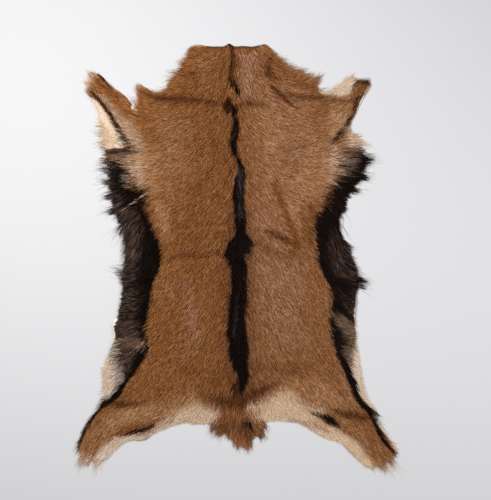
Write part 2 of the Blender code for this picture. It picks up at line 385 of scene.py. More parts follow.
rim, rim_fringe = smooth_rim()
gap, nearest = gaps_to_line(Field.spots, rim)
within = inside_line(Field.spots, rim)
rim_gap = Field(np.where(within, gap, -gap))
fringe_near = Field(rim_fringe[nearest]).blurred(2)

# The solid's upper and lower faces give the skin's waves and the pile's height.
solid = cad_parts["goatskin"]
solid_tree = BVHTree.FromPolygons(
    [v.co / MM for v in solid.data.vertices], [tuple(p.vertices) for p in solid.data.polygons]
)


def faces_met(way, start):
    """The height at which a line from above or below first meets the solid, over each field spot."""
    found = []
    for (x, y), inner in zip(Field.spots, within, strict=True):
        hit = solid_tree.ray_cast((x, y, start), (0, 0, way))[0] if inner else None
        found.append(hit.z if hit else 0.0)
    return np.array(found)


ABOVE, BELOW = 100.0, -100.0
upper = Field(faces_met(-1, ABOVE)).blurred(5)
lower = Field(faces_met(1, BELOW)).blurred(2)
FLESH_GAP = 0.25  # under the skin, where it lies on the floor
THIN_PILE, SKIN_SHARE = 4.5, 0.3  # the skin takes up this share of what the pile rises past that
rise = np.clip(upper.values - lower.values - THIN_PILE, 0, None) * SKIN_SHARE
skin_top = Field(lower.values + FLESH_GAP + LEATHER + rise)


# The coat's markings, as they show from above, laid on like paint in this order.
# A line is rows of x, y and width, an area is an outline of x and y, and the
# stripe is rows of y, left and right edge, all in drawn millimetres. soft is how
# far the edge fades, and full is the share of hairs that take the colour.
# Besides the coat's own markings, some rows are painted shade in folds, creases
# and wrinkles and along the rump's lower edge, and some are painted highlights
# on the black hair.
Paint = namedtuple("Paint", "colour soft full rows")
Edge = namedtuple("Edge", "y left right")
STRIPE = [
    Edge(472, -24, -12),
    Edge(458, -19, -9),
    Edge(440, -18, -8),
    Edge(424, -17, -9),
    Edge(404, -20, -11),
    Edge(390, -22, -8),
    Edge(375, -16, 1),
    Edge(362, -5, 7),
    Edge(354, 2, 6),
    Edge(352, -24, -19),
    Edge(344, -28, -15),
    Edge(334, -33, -7),
    Edge(324, -34, 4),
    Edge(315, -18, -4),
    Edge(304, -12, 2),
    Edge(290, -12, 3),
    Edge(274, -15, 3),
    Edge(262, -18, 2),
    Edge(252, -18, -3),
    Edge(236, -17, -1),
    Edge(224, -12, 3),
    Edge(214, -4, 7),
    Edge(204, -2, 11),
    Edge(194, 0, 16),
    Edge(174, -6, 17),
    Edge(154, -11, 15),
    Edge(134, -13, 13),
    Edge(110, -10, 15),
    Edge(90, -9, 18),
    Edge(64, -6, 18),
    Edge(50, -6, 20),
    Edge(36, -22, 32),
    Edge(24, -25, 34),
    Edge(14, -31, 28),
    Edge(2, -30, 21),
    Edge(-16, -19, 18),
    Edge(-30, -15, 21),
    Edge(-56, -17, 20),
    Edge(-76, -17, 20),
    Edge(-100, -22, 23),
    Edge(-116, -20, 17),
    Edge(-140, -23, 16),
    Edge(-166, -27, 20),
    Edge(-186, -20, 22),
    Edge(-206, -21, 25),
    Edge(-226, -19, 20),
    Edge(-240, -11, 23),
    Edge(-256, -2, 26),
    Edge(-268, 0, 24),
    Edge(-280, -11, 19),
    Edge(-290, -17, 13),
    Edge(-304, -13, 8),
]
COLOURS = {
    "rose": (162, 118, 88),
    "ochre": (124, 78, 40),
    "tan": (170, 124, 84),
    "ash": (172, 138, 108),
    "dun": (118, 98, 84),
    # umber and rust are brown hair, and also painted shade in the folds and creases.
    "umber": (86, 48, 24),
    "rust": (84, 42, 22),
    "sorrel": (118, 76, 46),
    "cream": (214, 192, 168),
    "fawn": (206, 178, 148),
    "bone": (198, 168, 142),
    "peach": (226, 204, 182),
    "black": (17, 8, 5),
    "bistre": (50, 34, 27),
    "slate": (60, 51, 49),
    "taupe": (98, 76, 62),
    "haze": (156, 138, 128),
    "olive": (100, 77, 58),
    "rufous": (142, 88, 54),
}
PAINTS = {
    "right half's pale tips": Paint(
        "rose", 70, 0.45,
        [
            (25, 430), (120, 400), (190, 300), (190, 160), (150, 60), (160, -60), (170, -200),
            (60, -230), (25, -100),
        ],
    ),
    "left half's ochre": Paint(
        "ochre", 60, 0.45,
        [
            (-20, 320), (-84, 320), (-86, 200), (-120, 110), (-150, -10), (-140, -44), (-66, -60),
            (-66, -200), (-140, -210), (-150, -260), (-60, -290), (-20, 0),
        ],
    ),
    "left side's tan": Paint(
        "tan", 56, 0.45,
        [(-185, 330), (-100, 310), (-92, 180), (-120, 150), (-175, 180)],
    ),
    "left loin's rose": Paint(
        "rose", 40, 0.5,
        [(-132, -50), (-100, -50), (-78, -110), (-76, -205), (-114, -205), (-124, -120)],
    ),
    "right shoulder's rose": Paint(
        "tan", 50, 0.4,
        [(14, 400), (40, 380), (110, 310), (110, 240), (60, 200), (24, 230)],
    ),
    "neck's pale left": Paint(
        "tan", 44, 0.45,
        [(-106, 452), (-44, 458), (-44, 410), (-66, 372), (-100, 380)],
    ),
    "neck's pale right": Paint(
        "rose", 32, 0.8,
        [(0, 450), (40, 450), (44, 430), (40, 380), (34, 350), (4, 350)],
    ),
    "left shoulder": Paint(
        "tan", 56, 0.8,
        [(-262, 268), (-212, 250), (-165, 235), (-160, 150), (-200, 118), (-232, 150), (-262, 200)],
    ),
    "right shoulder": Paint(
        "tan", 60, 0.6,
        [(150, 285), (215, 262), (235, 190), (200, 140), (150, 130), (130, 200)],
    ),
    "right foreleg": Paint(
        "tan", 26, 0.95,
        [(206, 338), (252, 338), (240, 290), (224, 262), (196, 262), (192, 300)],
    ),
    "left flank's edge": Paint(
        "tan", 24, 0.7,
        [(-190, 130), (-150, 110), (-144, 40), (-160, 36), (-180, 84)],
    ),
    "left flank's low edge": Paint("tan", 24, 0.45, [(-174, -50), (-132, -50), (-134, -90), (-180, -90)]),
    "right loin": Paint(
        "tan", 44, 0.65,
        [(120, -266), (190, -262), (235, -310), (250, -340), (160, -330), (110, -290)],
    ),
    "left hock": Paint(
        "tan", 30, 0.8,
        [
            (-290, -345), (-240, -328), (-170, -322), (-150, -340), (-176, -362), (-250, -370),
            (-300, -385),
        ],
    ),
    "spine's rust, high": Paint(
        "rust", 30, 0.3,
        [(-34, 430, 16), (-32, 330, 30), (-24, 250, 40), (-12, 170, 50)],
    ),
    "spine's rust": Paint("rust", 40, 0.5, [(-2, 110, 56), (0, 20, 90), (-4, -120, 80), (2, -260, 84)]),
    "neck's shade": Paint("umber", 24, 0.5, [(-134, 404, 12), (-110, 402, 22), (-92, 404, 12)]),
    # Painted shade in the left fold of the neck.
    "neck's left fold": Paint(
        "umber", 8, 0.55,
        [(-88, 446, 3), (-88, 420, 5), (-91, 392, 6), (-95, 372, 4)],
    ),
    "neck's corner": Paint("bone", 8, 0.7, [(-114, 461, 9), (-98, 466, 9), (-82, 466, 6)]),
    # Painted shade along the fold at the neck's left base, and in its crease.
    "neck's left base": Paint(
        "umber", 18, 0.85,
        [
            (-205, 361, 5), (-185, 352, 12), (-160, 349, 18), (-120, 348, 18), (-80, 344, 10),
            (-28, 335, 8),
        ],
    ),
    "neck's left crease": Paint(
        "umber", 5, 0.7,
        [(-186, 353, 3), (-160, 352, 5), (-118, 349, 5), (-80, 344, 4), (-50, 340, 3)],
    ),
    # Painted shade along the fold at the neck's right base, in the neck's right fold and on its right
    # slope.
    "neck's right base": Paint("umber", 14, 0.7, [(2, 336, 12), (40, 337, 12), (62, 332, 6)]),
    "neck's right fold": Paint(
        "rust", 9, 0.9,
        [(70, 379, 6), (88, 361, 13), (104, 347, 11), (118, 333, 6), (130, 327, 4)],
    ),
    "neck's right fold, shade": Paint("umber", 24, 0.6, [(84, 364, 16), (116, 346, 22), (130, 344, 12)]),
    "neck's right slope": Paint(
        "umber", 16, 0.8,
        [(74, 442, 8), (66, 420, 14), (68, 403, 22), (84, 392, 12)],
    ),
    "neck's right rim": Paint(
        "ochre", 16, 0.7,
        [(72, 454, 10), (84, 430, 16), (104, 414, 16), (130, 404, 10)],
    ),
    "neck's right tab": Paint("ochre", 30, 0.5, [(80, 392, 20), (150, 380, 30)]),
    # Painted shade in the shoulder fold and in the fold at the left leg.
    "shoulder fold": Paint(
        "umber", 16, 0.7,
        [(100, 362, 6), (140, 352, 12), (172, 350, 18), (196, 346, 12), (224, 344, 4), (248, 346, 2)],
    ),
    "left leg's fold": Paint("umber", 8, 0.6, [(-246, 322, 3), (-224, 310, 6), (-200, 301, 3)]),
    "left leg's brown": Paint("umber", 18, 0.6, [(-308, 390, 10), (-296, 376, 14), (-264, 350, 8)]),
    "left leg's end": Paint("bone", 14, 0.75, [(-333, 368, 12), (-328, 388, 18), (-316, 402, 10)]),
    # Painted shade in the crease across the waist.
    "waist, left": Paint(
        "umber", 12, 0.65,
        [(-156, -9, 4), (-142, 2, 8), (-104, 4, 10), (-66, 4, 8), (-40, 12, 12)],
    ),
    "waist, right": Paint(
        "rust", 18, 0.8,
        [(62, 58, 6), (82, 49, 16), (100, 39, 18), (122, 34, 20), (134, 26, 8)],
    ),
    "waist by the stripe": Paint("umber", 24, 0.6, [(24, 34, 26), (60, 24, 14), (90, 2, 12)]),
    "right side": Paint(
        "ochre", 16, 0.9,
        [
            (82, 156, 16), (94, 128, 14), (104, 102, 14), (112, 76, 14), (124, 52, 20), (128, 30, 24),
            (124, 6, 24),
        ],
    ),
    # Painted shade in the crease down the right side.
    "right side's crease": Paint(
        "umber", 12, 0.5,
        [(90, 140, 5), (104, 100, 6), (113, 74, 6), (126, 46, 14), (127, 24, 14)],
    ),
    "right side's tan": Paint("tan", 16, 0.7, [(116, 116, 10), (126, 86, 12), (136, 62, 8)]),
    "right belly": Paint("rust", 14, 1.0, [(174, 94, 14), (166, 78, 24), (161, 56, 20), (157, 38, 12)]),
    # Painted shade in the wrinkles on the right.
    "right wrinkle's painted shade, high": Paint("umber", 5, 0.45, [(104, 246, 2), (140, 260, 4), (196, 284, 2)]),
    "right wrinkle's painted shade": Paint("umber", 5, 0.5, [(84, 224, 2), (122, 238, 5), (184, 254, 2)]),
    "right wrinkle's painted shade, low": Paint("umber", 5, 0.4, [(70, 204, 2), (110, 216, 4), (170, 226, 2)]),
    "right belly's shade": Paint("ochre", 24, 0.75, [(160, 112, 24), (152, 64, 40), (156, 20, 14)]),
    "right rump": Paint("rust", 26, 0.8, [(2, -312, 38), (34, -304, 44), (60, -290, 30), (78, -282, 12)]),
    "right rump's shade": Paint(
        "rust", 36, 0.45,
        [(46, -240, 36), (84, -250, 36), (112, -250, 34), (150, -238, 16)],
    ),
    "left rump": Paint("umber", 26, 0.75, [(4, -316, 44), (-40, -318, 34), (-76, -310, 14)]),
    "left rump's shade": Paint("umber", 40, 0.4, [(-40, -270, 50), (-100, -300, 30)]),
    # Painted shade in the creases across both hocks.
    "right hock": Paint(
        "umber", 12, 0.85,
        [(214, -340, 10), (238, -346, 18), (262, -350, 20), (286, -352, 12)],
    ),
    "left hock's fold": Paint(
        "umber", 12, 0.9,
        [(-284, -317, 12), (-262, -322, 18), (-240, -324, 12), (-205, -320, 4)],
    ),
    "left thigh": Paint("umber", 16, 0.4, [(-190, -332, 6), (-160, -336, 10), (-130, -334, 6)]),
    "left hind leg's shade": Paint(
        "umber", 18, 0.4,
        [(-262, -388, 8), (-236, -374, 12), (-210, -366, 8)],
    ),
    "right waist's shade": Paint("umber", 20, 0.45, [(104, 8, 20), (112, -16, 24)]),
    "right flank's ochre": Paint("ochre", 26, 0.5, [(132, -108, 22), (140, -142, 26)]),
    "right flank's ochre, high": Paint("ochre", 22, 0.4, [(154, -30, 22), (158, -66, 22)]),
    "right rib's spot": Paint("rust", 10, 0.35, [(92, -98, 10), (108, -101, 10)]),
    "right of the stripe": Paint(
        "rust", 14, 0.4,
        [(30, -56, 10), (30, -118, 14), (31, -160, 6), (32, -204, 14)],
    ),
    "right rib's shade": Paint("umber", 26, 0.2, [(58, -12, 24), (70, -30, 20)]),
    "right rib's low shade": Paint("umber", 22, 0.2, [(58, -120, 20), (62, -140, 18)]),
    "left loin's rust": Paint("rust", 18, 0.25, [(-178, -158, 14), (-156, -166, 20), (-140, -190, 14)]),
    "left of the stripe": Paint("rust", 16, 0.3, [(-38, -148, 12), (-38, -196, 14)]),
    "left rump's rust": Paint("rust", 30, 0.18, [(-60, -240, 30), (-110, -250, 20), (-150, -214, 26)]),
    "right loin's shade": Paint("umber", 26, 0.38, [(100, -250, 26), (134, -254, 24), (168, -300, 20)]),
    "right rib's light": Paint("ash", 16, 0.35, [(56, -76, 20), (82, -64, 24), (104, -46, 20)]),
    "right loin's light": Paint("ash", 20, 0.12, [(70, -176, 22), (78, -206, 22)]),
    "left back's light": Paint("tan", 24, 0.4, [(-70, 206, 24), (-52, 180, 24), (-40, 160, 18)]),
    # Painted shade where the shoulder fold runs out.
    "shoulder fold's end": Paint("umber", 12, 0.35, [(186, 350, 12), (206, 347, 12), (226, 346, 8)]),
    "right shoulder's light": Paint("ash", 20, 0.28, [(236, 340, 14), (226, 306, 24), (186, 290, 20)]),
    "right rump's pale hair": Paint("fawn", 14, 0.4, [(70, -344, 10), (112, -342, 12)]),
    "left rump's brown hair": Paint(
        "tan", 18, 0.35,
        [(-200, -371, 8), (-160, -352, 16), (-120, -344, 14)],
    ),
    "right loin's pale edge": Paint("ash", 14, 0.4, [(228, -262, 10), (240, -290, 16), (252, -318, 14)]),
    "stripe's foot, shade": Paint("rust", 14, 0.3, [(-12, -270, 10), (-12, -290, 12)]),
    "tail's root": Paint("rust", 12, 0.8, [(-48, -370, 16), (-20, -372, 16), (4, -368, 10)]),
    "neck's right shade": Paint("umber", 16, 0.25, [(84, 424, 14), (76, 410, 12)]),
    "neck's right hair": Paint("tan", 10, 0.5, [(104, 420, 8), (118, 411, 12), (134, 404, 8)]),
    "neck's right base, shade": Paint("umber", 12, 0.3, [(70, 356, 14), (90, 344, 14)]),
    # Painted shade where the crease across the waist ends on the right.
    "waist's right end": Paint("rust", 12, 0.35, [(118, 44, 10), (132, 36, 12)]),
    "left hind leg's tan": Paint(
        "tan", 30, 0.55,
        [(-330, -380), (-290, -345), (-240, -340), (-256, -384), (-300, -440), (-345, -460)],
    ),
    "right hind leg's tan": Paint(
        "tan", 36, 0.4,
        [(190, -330), (270, -370), (340, -460), (300, -470), (240, -390), (180, -360)],
    ),
    "left foreleg's strip": Paint(
        "peach", 8, 1.0,
        [
            (-330, 352), (-316, 346), (-300, 334), (-284, 306), (-264, 272), (-246, 240), (-284, 236),
            (-296, 262), (-304, 300), (-318, 328),
        ],
    ),
    "left foreleg's low fur": Paint(
        "fawn", 16, 0.85,
        [(-306, 300, 10), (-296, 280, 20), (-288, 262, 26), (-270, 246, 18)],
    ),
    "left foreleg's outer fur": Paint(
        "bone", 14, 0.85,
        [(-314, 300, 8), (-306, 272, 16), (-300, 250, 18), (-300, 236, 12)],
    ),
    "left foreleg's ash": Paint(
        "ash", 26, 1.0,
        [(-298, 350, 10), (-268, 306, 26), (-240, 276, 40), (-222, 242, 34)],
    ),
    "right shoulder's peach": Paint(
        "bone", 18, 0.95,
        [(242, 290), (254, 282), (270, 268), (300, 254), (306, 240), (270, 236), (244, 242), (236, 262)],
    ),
    "right foreleg's cream": Paint(
        "cream", 12, 1.0,
        [
            (178, 366), (194, 358), (216, 352), (246, 352), (250, 366), (258, 380), (264, 408),
            (240, 404), (214, 380),
        ],
    ),
    "right foreleg's low cream": Paint("ash", 10, 0.7, [(206, 354, 4), (220, 351, 8), (240, 350, 8)]),
    "right foreleg's tan": Paint(
        "tan", 14, 0.7,
        [(190, 350, 8), (236, 350, 8), (252, 356, 12), (256, 372, 12), (260, 386, 6)],
    ),
    "left cream edge": Paint(
        "cream", 12, 1.0,
        [
            (-330, -226), (-300, -214), (-278, -210), (-272, -234), (-268, -262), (-266, -282),
            (-276, -300), (-296, -320), (-330, -318), (-340, -270),
        ],
    ),
    "right cream edge": Paint(
        "cream", 8, 1.0,
        [
            (256, -208), (246, -224), (244, -244), (248, -264), (255, -286), (266, -306), (280, -326),
            (300, -340), (322, -336), (300, -260), (284, -196), (266, -196),
        ],
    ),
    "left rump's tan": Paint(
        "tan", 44, 0.85,
        [(-190, -345), (-140, -312), (-100, -298), (-58, -322), (-46, -350), (-60, -384), (-150, -384)],
    ),
    "left rump's cream": Paint(
        "fawn", 32, 1.0,
        [
            (-130, -338), (-92, -322), (-62, -326), (-46, -338), (-52, -386), (-122, -390), (-186, -400),
            (-160, -362),
        ],
    ),
    "left hind leg's cream": Paint(
        "cream", 16, 0.9,
        [
            (-176, -364), (-150, -356), (-120, -384), (-200, -420), (-250, -430), (-300, -480),
            (-330, -474), (-306, -424), (-276, -398), (-240, -389), (-198, -382),
        ],
    ),
    "right rump's tan": Paint(
        "tan", 40, 0.7,
        [
            (20, -338), (50, -306), (84, -286), (106, -276), (136, -292), (160, -330), (150, -384),
            (20, -384),
        ],
    ),
    "right rump's cream": Paint(
        "fawn", 40, 1.0,
        [
            (38, -352), (58, -322), (86, -302), (108, -296), (130, -308), (146, -330), (186, -336),
            (176, -356), (150, -384), (40, -384),
        ],
    ),
    "right hind leg's cream": Paint(
        "fawn", 20, 1.0,
        [
            (150, -350), (180, -360), (212, -376), (244, -392), (266, -412), (290, -444), (304, -486),
            (270, -486), (220, -430), (140, -390),
        ],
    ),
    "right hind leg's end": Paint(
        "bone", 14, 0.6,
        [(350, -432), (334, -448), (312, -456), (300, -490), (370, -490), (372, -440)],
    ),
    "left hind leg's end": Paint(
        "bone", 16, 0.7,
        [(-352, -424), (-334, -434), (-312, -440), (-300, -490), (-370, -490), (-372, -430)],
    ),
    "tail's brown": Paint(
        "sorrel", 10, 1.0,
        [
            (-62, -364), (-30, -360), (10, -356), (40, -358), (64, -360), (70, -400), (20, -440),
            (-50, -410), (-70, -380),
        ],
    ),
    "tail's shade": Paint(
        "umber", 16, 0.6,
        [(-50, -368, 12), (-36, -372, 18), (-18, -374, 18), (-2, -371, 12)],
    ),
    "tail's shade, right": Paint("umber", 16, 0.4, [(30, -376, 16), (46, -378, 14)]),
    "tail's tip": Paint("rufous", 14, 0.9, [(-12, -390, 20), (2, -402, 32), (16, -414, 22)]),
    "left shoulder's black": Paint(
        "black", 36, 1.0,
        [
            (-350, 216), (-300, 219), (-262, 217), (-240, 208), (-234, 190), (-232, 174), (-226, 160),
            (-210, 150), (-196, 142), (-200, 118), (-230, 94), (-256, 72), (-350, 60),
        ],
    ),
    "left shoulder's fur": Paint("olive", 12, 0.8, [(-304, 230, 12), (-270, 225, 20), (-240, 222, 18)]),
    "left shoulder's band": Paint(
        "bistre", 8, 0.8,
        [(-284, 230, 6), (-268, 232, 10), (-246, 234, 12), (-230, 233, 12), (-220, 229, 6)],
    ),
    "left shoulder's mixed fur": Paint(
        "bone", 16, 0.5,
        [(-254, 208, 12), (-240, 204, 16), (-237, 190, 18), (-234, 172, 18), (-230, 160, 8)],
    ),
    "left shoulder's pale fur": Paint(
        "bone", 24, 0.7,
        [(-226, 218, 16), (-220, 200, 26), (-216, 178, 20), (-212, 164, 8)],
    ),
    "left flank's black": Paint(
        "black", 10, 1.0,
        [
            (-350, 100), (-256, 104), (-226, 122), (-208, 132), (-205, 112), (-200, 92), (-187, 70),
            (-175, 44), (-168, 16), (-167, -8), (-174, -34), (-185, -54), (-188, -84), (-194, -112),
            (-200, -140), (-200, -176), (-195, -200), (-203, -222), (-224, -252), (-248, -284),
            (-262, -306), (-276, -306), (-268, -284), (-262, -262), (-268, -240), (-272, -226),
            (-290, -216), (-350, -190),
        ],
    ),
    "left flank's brown": Paint(
        "bistre", 26, 0.8,
        [(-256, 104), (-226, 116), (-214, 60), (-222, -20), (-250, -20), (-252, 60)],
    ),
    "left shoulder's brown": Paint(
        "bistre", 18, 0.6,
        [(-286, 204, 20), (-280, 180, 26), (-274, 150, 26), (-268, 124, 20)],
    ),
    "left flank's low brown": Paint(
        "bistre", 20, 0.75,
        [(-236, -150, 40), (-240, -210, 40), (-250, -236, 20)],
    ),
    "left flank's tufts": Paint("taupe", 18, 0.8, [(-258, -184, 16), (-236, -188, 34), (-216, -194, 26)]),
    "left flank's tips": Paint(
        "ash", 16, 0.5,
        [(-266, -182, 8), (-244, -184, 18), (-224, -190, 26), (-208, -196, 14)],
    ),
    "left flank's fringe": Paint("taupe", 12, 0.5, [(-250, -30, 18), (-254, -70, 16)]),
    "left flank's grey": Paint(
        "haze", 14, 0.95,
        [(-268, -220, 8), (-263, -240, 18), (-259, -262, 20), (-261, -284, 13), (-274, -302, 6)],
    ),
    "left flank's pale rim": Paint(
        "cream", 8, 0.8,
        [(-264, -182, 8), (-268, -198, 14), (-272, -212, 16)],
    ),
    "left flank's hem": Paint("bistre", 12, 0.6, [(-252, -46, 14), (-252, -90, 12), (-256, -150, 14)]),
    "right shoulder's black": Paint(
        "black", 34, 1.0,
        [
            (350, 232), (290, 232), (262, 240), (240, 236), (228, 224), (224, 200), (220, 180),
            (208, 164), (198, 146), (190, 126), (182, 104), (350, 90),
        ],
    ),
    "right shoulder's pale fur": Paint(
        "bone", 22, 0.6,
        [(212, 246, 14), (210, 224, 20), (208, 194, 18), (200, 168, 10)],
    ),
    "right flank's black": Paint(
        "black", 9, 1.0,
        [
            (350, 110), (188, 112), (181, 98), (171, 86), (168, 70), (170, 50), (173, 14), (176, -12),
            (187, -40), (200, -60), (204, -92), (204, -116), (201, -134), (202, -160), (207, -186),
            (215, -214), (229, -244), (240, -272), (252, -300), (268, -296), (258, -268), (248, -240),
            (244, -220), (250, -204), (270, -196), (350, -190),
        ],
    ),
    "right flank's brown": Paint(
        "bistre", 22, 0.5,
        [(196, 58), (226, 62), (244, 10), (250, -36), (222, -46), (196, -30), (188, 20)],
    ),
    "right flank's low brown": Paint("bistre", 14, 0.45, [(234, -78, 34), (246, -112, 18)]),
    "right flank's brown tips": Paint(
        "olive", 12, 0.75,
        [(206, -124, 12), (226, -138, 26), (242, -156, 34), (246, -178, 26), (244, -198, 14)],
    ),
    "right flank's tips": Paint(
        "ash", 12, 0.12,
        [(210, -126, 6), (234, -138, 22), (244, -156, 26), (244, -180, 20)],
    ),
    "right flank's pale rim": Paint(
        "cream", 6, 0.75,
        [(258, -152, 6), (259, -170, 8), (258, -190, 9), (258, -206, 8)],
    ),
    "right flank's grey": Paint("dun", 10, 0.95, [(240, -208, 18), (246, -222, 18), (250, -238, 9)]),
    "left rump's bright hair": Paint(
        "cream", 14, 0.45,
        [(-56, -345, 12), (-80, -346, 20), (-106, -349, 14)],
    ),
    "right rump's bright hair": Paint(
        "cream", 14, 0.45,
        [(52, -340, 14), (76, -339, 20), (102, -330, 16)],
    ),
    # Painted shade along the lower edge of the rump's cream, in a duller ash.
    "left rump's dull edge": Paint(
        "ash", 10, 0.65,
        [(-140, -358, 8), (-164, -368, 13), (-186, -380, 17), (-206, -394, 11)],
    ),
    "right rump's dull edge": Paint(
        "ash", 10, 0.65,
        [(108, -356, 8), (138, -362, 13), (166, -369, 17), (186, -376, 14), (202, -384, 6)],
    ),
    "tail's left shoulder": Paint("ochre", 12, 0.6, [(-46, -335, 10), (-62, -328, 13), (-82, -321, 6)]),
    "tail's right shoulder": Paint("fawn", 10, 0.35, [(40, -333, 12), (48, -322, 10)]),
    "left foreleg's line": Paint(
        "bistre", 6, 1.0,
        [
            (-326, 366, 4), (-308, 348, 7), (-296, 334, 8), (-276, 306, 8), (-262, 280, 10),
            (-250, 258, 13), (-238, 240, 15),
        ],
    ),
    "left foreleg's dark core": Paint(
        "black", 6, 0.45,
        [(-300, 340, 2), (-276, 306, 3), (-256, 272, 5), (-242, 248, 8)],
    ),
    "left foreleg's tip": Paint(
        "black", 6, 0.8,
        [(-312, 404, 6), (-300, 395, 8), (-288, 380, 6), (-276, 370, 3)],
    ),
    # Taupe hairs among the black: partly paler hairs and partly painted highlights on the glossy black
    # hair.
    "left flank's strands": Paint(
        "taupe", 8, 0.36,
        [
            (-300, 210), (-262, 205), (-262, 150), (-240, 110), (-214, 90), (-196, 40), (-190, -10),
            (-206, -60), (-212, -130), (-216, -190), (-240, -230), (-280, -200), (-270, -60), (-262, 40),
            (-310, 120),
        ],
    ),
    "left flank's inner brown": Paint("taupe", 14, 0.6, [(-236, -206, 24), (-242, -244, 18)]),
    "left flank's inner black": Paint(
        "black", 14, 0.3,
        [(-208, -90, 10), (-216, -120, 16), (-220, -150, 14)],
    ),
    # Taupe hairs among the black of the right flank and the stripe: partly paler hairs and partly painted
    # highlights on the glossy black hair.
    "right flank's strands": Paint(
        "taupe", 8, 0.26,
        [
            (200, 70), (222, 60), (240, 40), (262, -20), (268, -80), (262, -140), (236, -120),
            (214, -40), (196, 10),
        ],
    ),
    "stripe's strands": Paint("taupe", 8, 0.12, [(0, 60, 24), (0, 0, 40), (0, -120, 36), (0, -250, 36)]),
    "right shoulder's mixed fur": Paint(
        "taupe", 22, 0.75,
        [(254, 240, 14), (246, 222, 28), (240, 204, 28), (232, 186, 20)],
    ),
    "right shoulder's grey fur": Paint(
        "bone", 18, 0.42,
        [(240, 242, 12), (234, 222, 24), (228, 200, 24), (220, 180, 14)],
    ),
    "left flank's heart": Paint(
        "black", 16, 0.9,
        [(-200, 92, 10), (-194, 60, 16), (-196, 10, 24), (-206, -36, 18), (-214, -60, 14)],
    ),
    "left shoulder's heart": Paint(
        "black", 14, 0.75,
        [(-276, 196, 6), (-268, 182, 12), (-264, 166, 18), (-262, 148, 14), (-236, 144, 6)],
    ),
    # The fold's pale lip: partly its own pale edge and partly a painted highlight along it.
    "left flank's lip": Paint(
        "bone", 3, 0.9,
        [(-246, 108, 2), (-230, 119, 3), (-214, 131, 3), (-200, 141, 2)],
    ),
    "left shoulder's low brown": Paint(
        "taupe", 12, 0.5,
        [(-280, 124, 10), (-262, 116, 18), (-240, 112, 12)],
    ),
    # Painted shade in black just above the fold's lip.
    "left flank's lip, shade": Paint(
        "black", 6, 0.9,
        [(-250, 112, 6), (-236, 123, 8), (-216, 139, 8), (-194, 151, 3)],
    ),
    "right flank's hollow": Paint("black", 14, 0.95, [(206, 104, 16), (196, 80, 18), (190, 50, 12)]),
    "right flank's heart": Paint("black", 12, 0.8, [(222, -52, 14), (234, -62, 22), (238, -76, 16)]),
    "right flank's hem": Paint("taupe", 8, 0.5, [(248, -96, 8), (251, -118, 12), (254, -136, 10)]),
    "right foreleg's brown": Paint("umber", 10, 0.4, [(254, 366, 10), (264, 372, 14), (276, 372, 12)]),
    "right foreleg's edge": Paint("bone", 7, 0.9, [(280, 358, 6), (289, 372, 10), (297, 386, 8)]),
    "right foreleg's patch": Paint(
        "bistre", 8, 0.75,
        [(274, 355, 8), (266, 342, 24), (260, 328, 16), (256, 316, 6)],
    ),
    "right foreleg's patch, brown": Paint(
        "umber", 8, 0.5,
        [(270, 350, 10), (264, 338, 18), (258, 324, 12)],
    ),
    "right foreleg's line": Paint(
        "bistre", 8, 0.85,
        [(254, 312, 3), (246, 303, 9), (236, 289, 13), (224, 271, 14), (210, 252, 10)],
    ),
    "right foreleg's dark core": Paint("black", 6, 0.45, [(246, 302, 3), (235, 287, 7), (223, 269, 7)]),
    "right shoulder's top fur": Paint("ash", 14, 0.45, [(216, 238, 14), (234, 242, 16), (254, 243, 12)]),
    "right foreleg's tip": Paint(
        "bistre", 8, 0.8,
        [(256, 380, 5), (268, 384, 10), (282, 383, 10), (291, 378, 4)],
    ),
    "left hind leg's line": Paint(
        "black", 6, 1.0,
        [
            (-254, -284, 15), (-265, -300, 16), (-274, -310, 15), (-288, -320, 13), (-302, -330, 11),
            (-311, -340, 10), (-318, -350, 9), (-324, -360, 9), (-330, -370, 9), (-336, -380, 9),
            (-341, -390, 8), (-345, -400, 8), (-348, -410, 7), (-352, -424, 5),
        ],
    ),
    "left hind leg's grey": Paint("haze", 5, 0.9, [(-266, -290, 4), (-282, -305, 6), (-298, -318, 6)]),
    "left hind leg's tuft": Paint("black", 6, 0.8, [(-288, -318, 8), (-304, -312, 7), (-328, -316, 5)]),
    "right hind leg's line": Paint(
        "black", 6, 1.0,
        [
            (256, -296, 13), (266, -314, 14), (282, -330, 15), (294, -345, 14), (299, -362, 12),
            (308, -382, 11), (321, -402, 10), (334, -420, 8), (345, -432, 5),
        ],
    ),
    "right hind leg's outer fur": Paint(
        "fawn", 7, 0.9,
        [(310, -364, 5), (324, -384, 9), (338, -402, 11), (348, -420, 10)],
    ),
    "right hind leg's tuft": Paint("black", 7, 1.0, [(286, -334, 12), (300, -344, 12), (318, -350, 6)]),
    "left rump's streak": Paint(
        "black", 11, 0.75,
        [(-256, -392, 5), (-232, -385, 14), (-208, -380, 16), (-186, -371, 9)],
    ),
    "left rump's grey": Paint("haze", 8, 0.6, [(-226, -394, 3), (-202, -388, 6), (-176, -373, 5)]),
    "right rump's spot": Paint(
        "black", 10, 0.85,
        [(166, -345, 5), (186, -350, 12), (202, -357, 20), (214, -366, 14), (224, -376, 4)],
    ),
    "tail's spot": Paint("black", 7, 0.95, [(10, -362, 8), (22, -367, 16), (28, -376, 8)]),
    # Darker along the neck's cut edge, partly the edge's own colour and partly painted shadow.
    "neck's edge": Paint("umber", 6, 0.7, [(-70, 463, 5), (-30, 462, 7), (0, 462, 6), (44, 463, 4)]),
    "left neck slit": Paint("black", 5, 0.5, [(-26, 462, 10), (-18, 470, 14)]),
    "left body's glow": Paint("rufous", 40, 0.35, [(-130, 262), (-96, 262), (-92, 120), (-120, 110)]),
    "left side's glow": Paint("tan", 24, 0.4, [(-150, 264, 30), (-152, 200, 34), (-148, 120, 30)]),
    "left spine's glow": Paint("tan", 24, 0.25, [(-70, 250, 24), (-68, 110, 24)]),
    "neck's right glow": Paint("tan", 14, 0.6, [(46, 374, 16), (50, 346, 18)]),
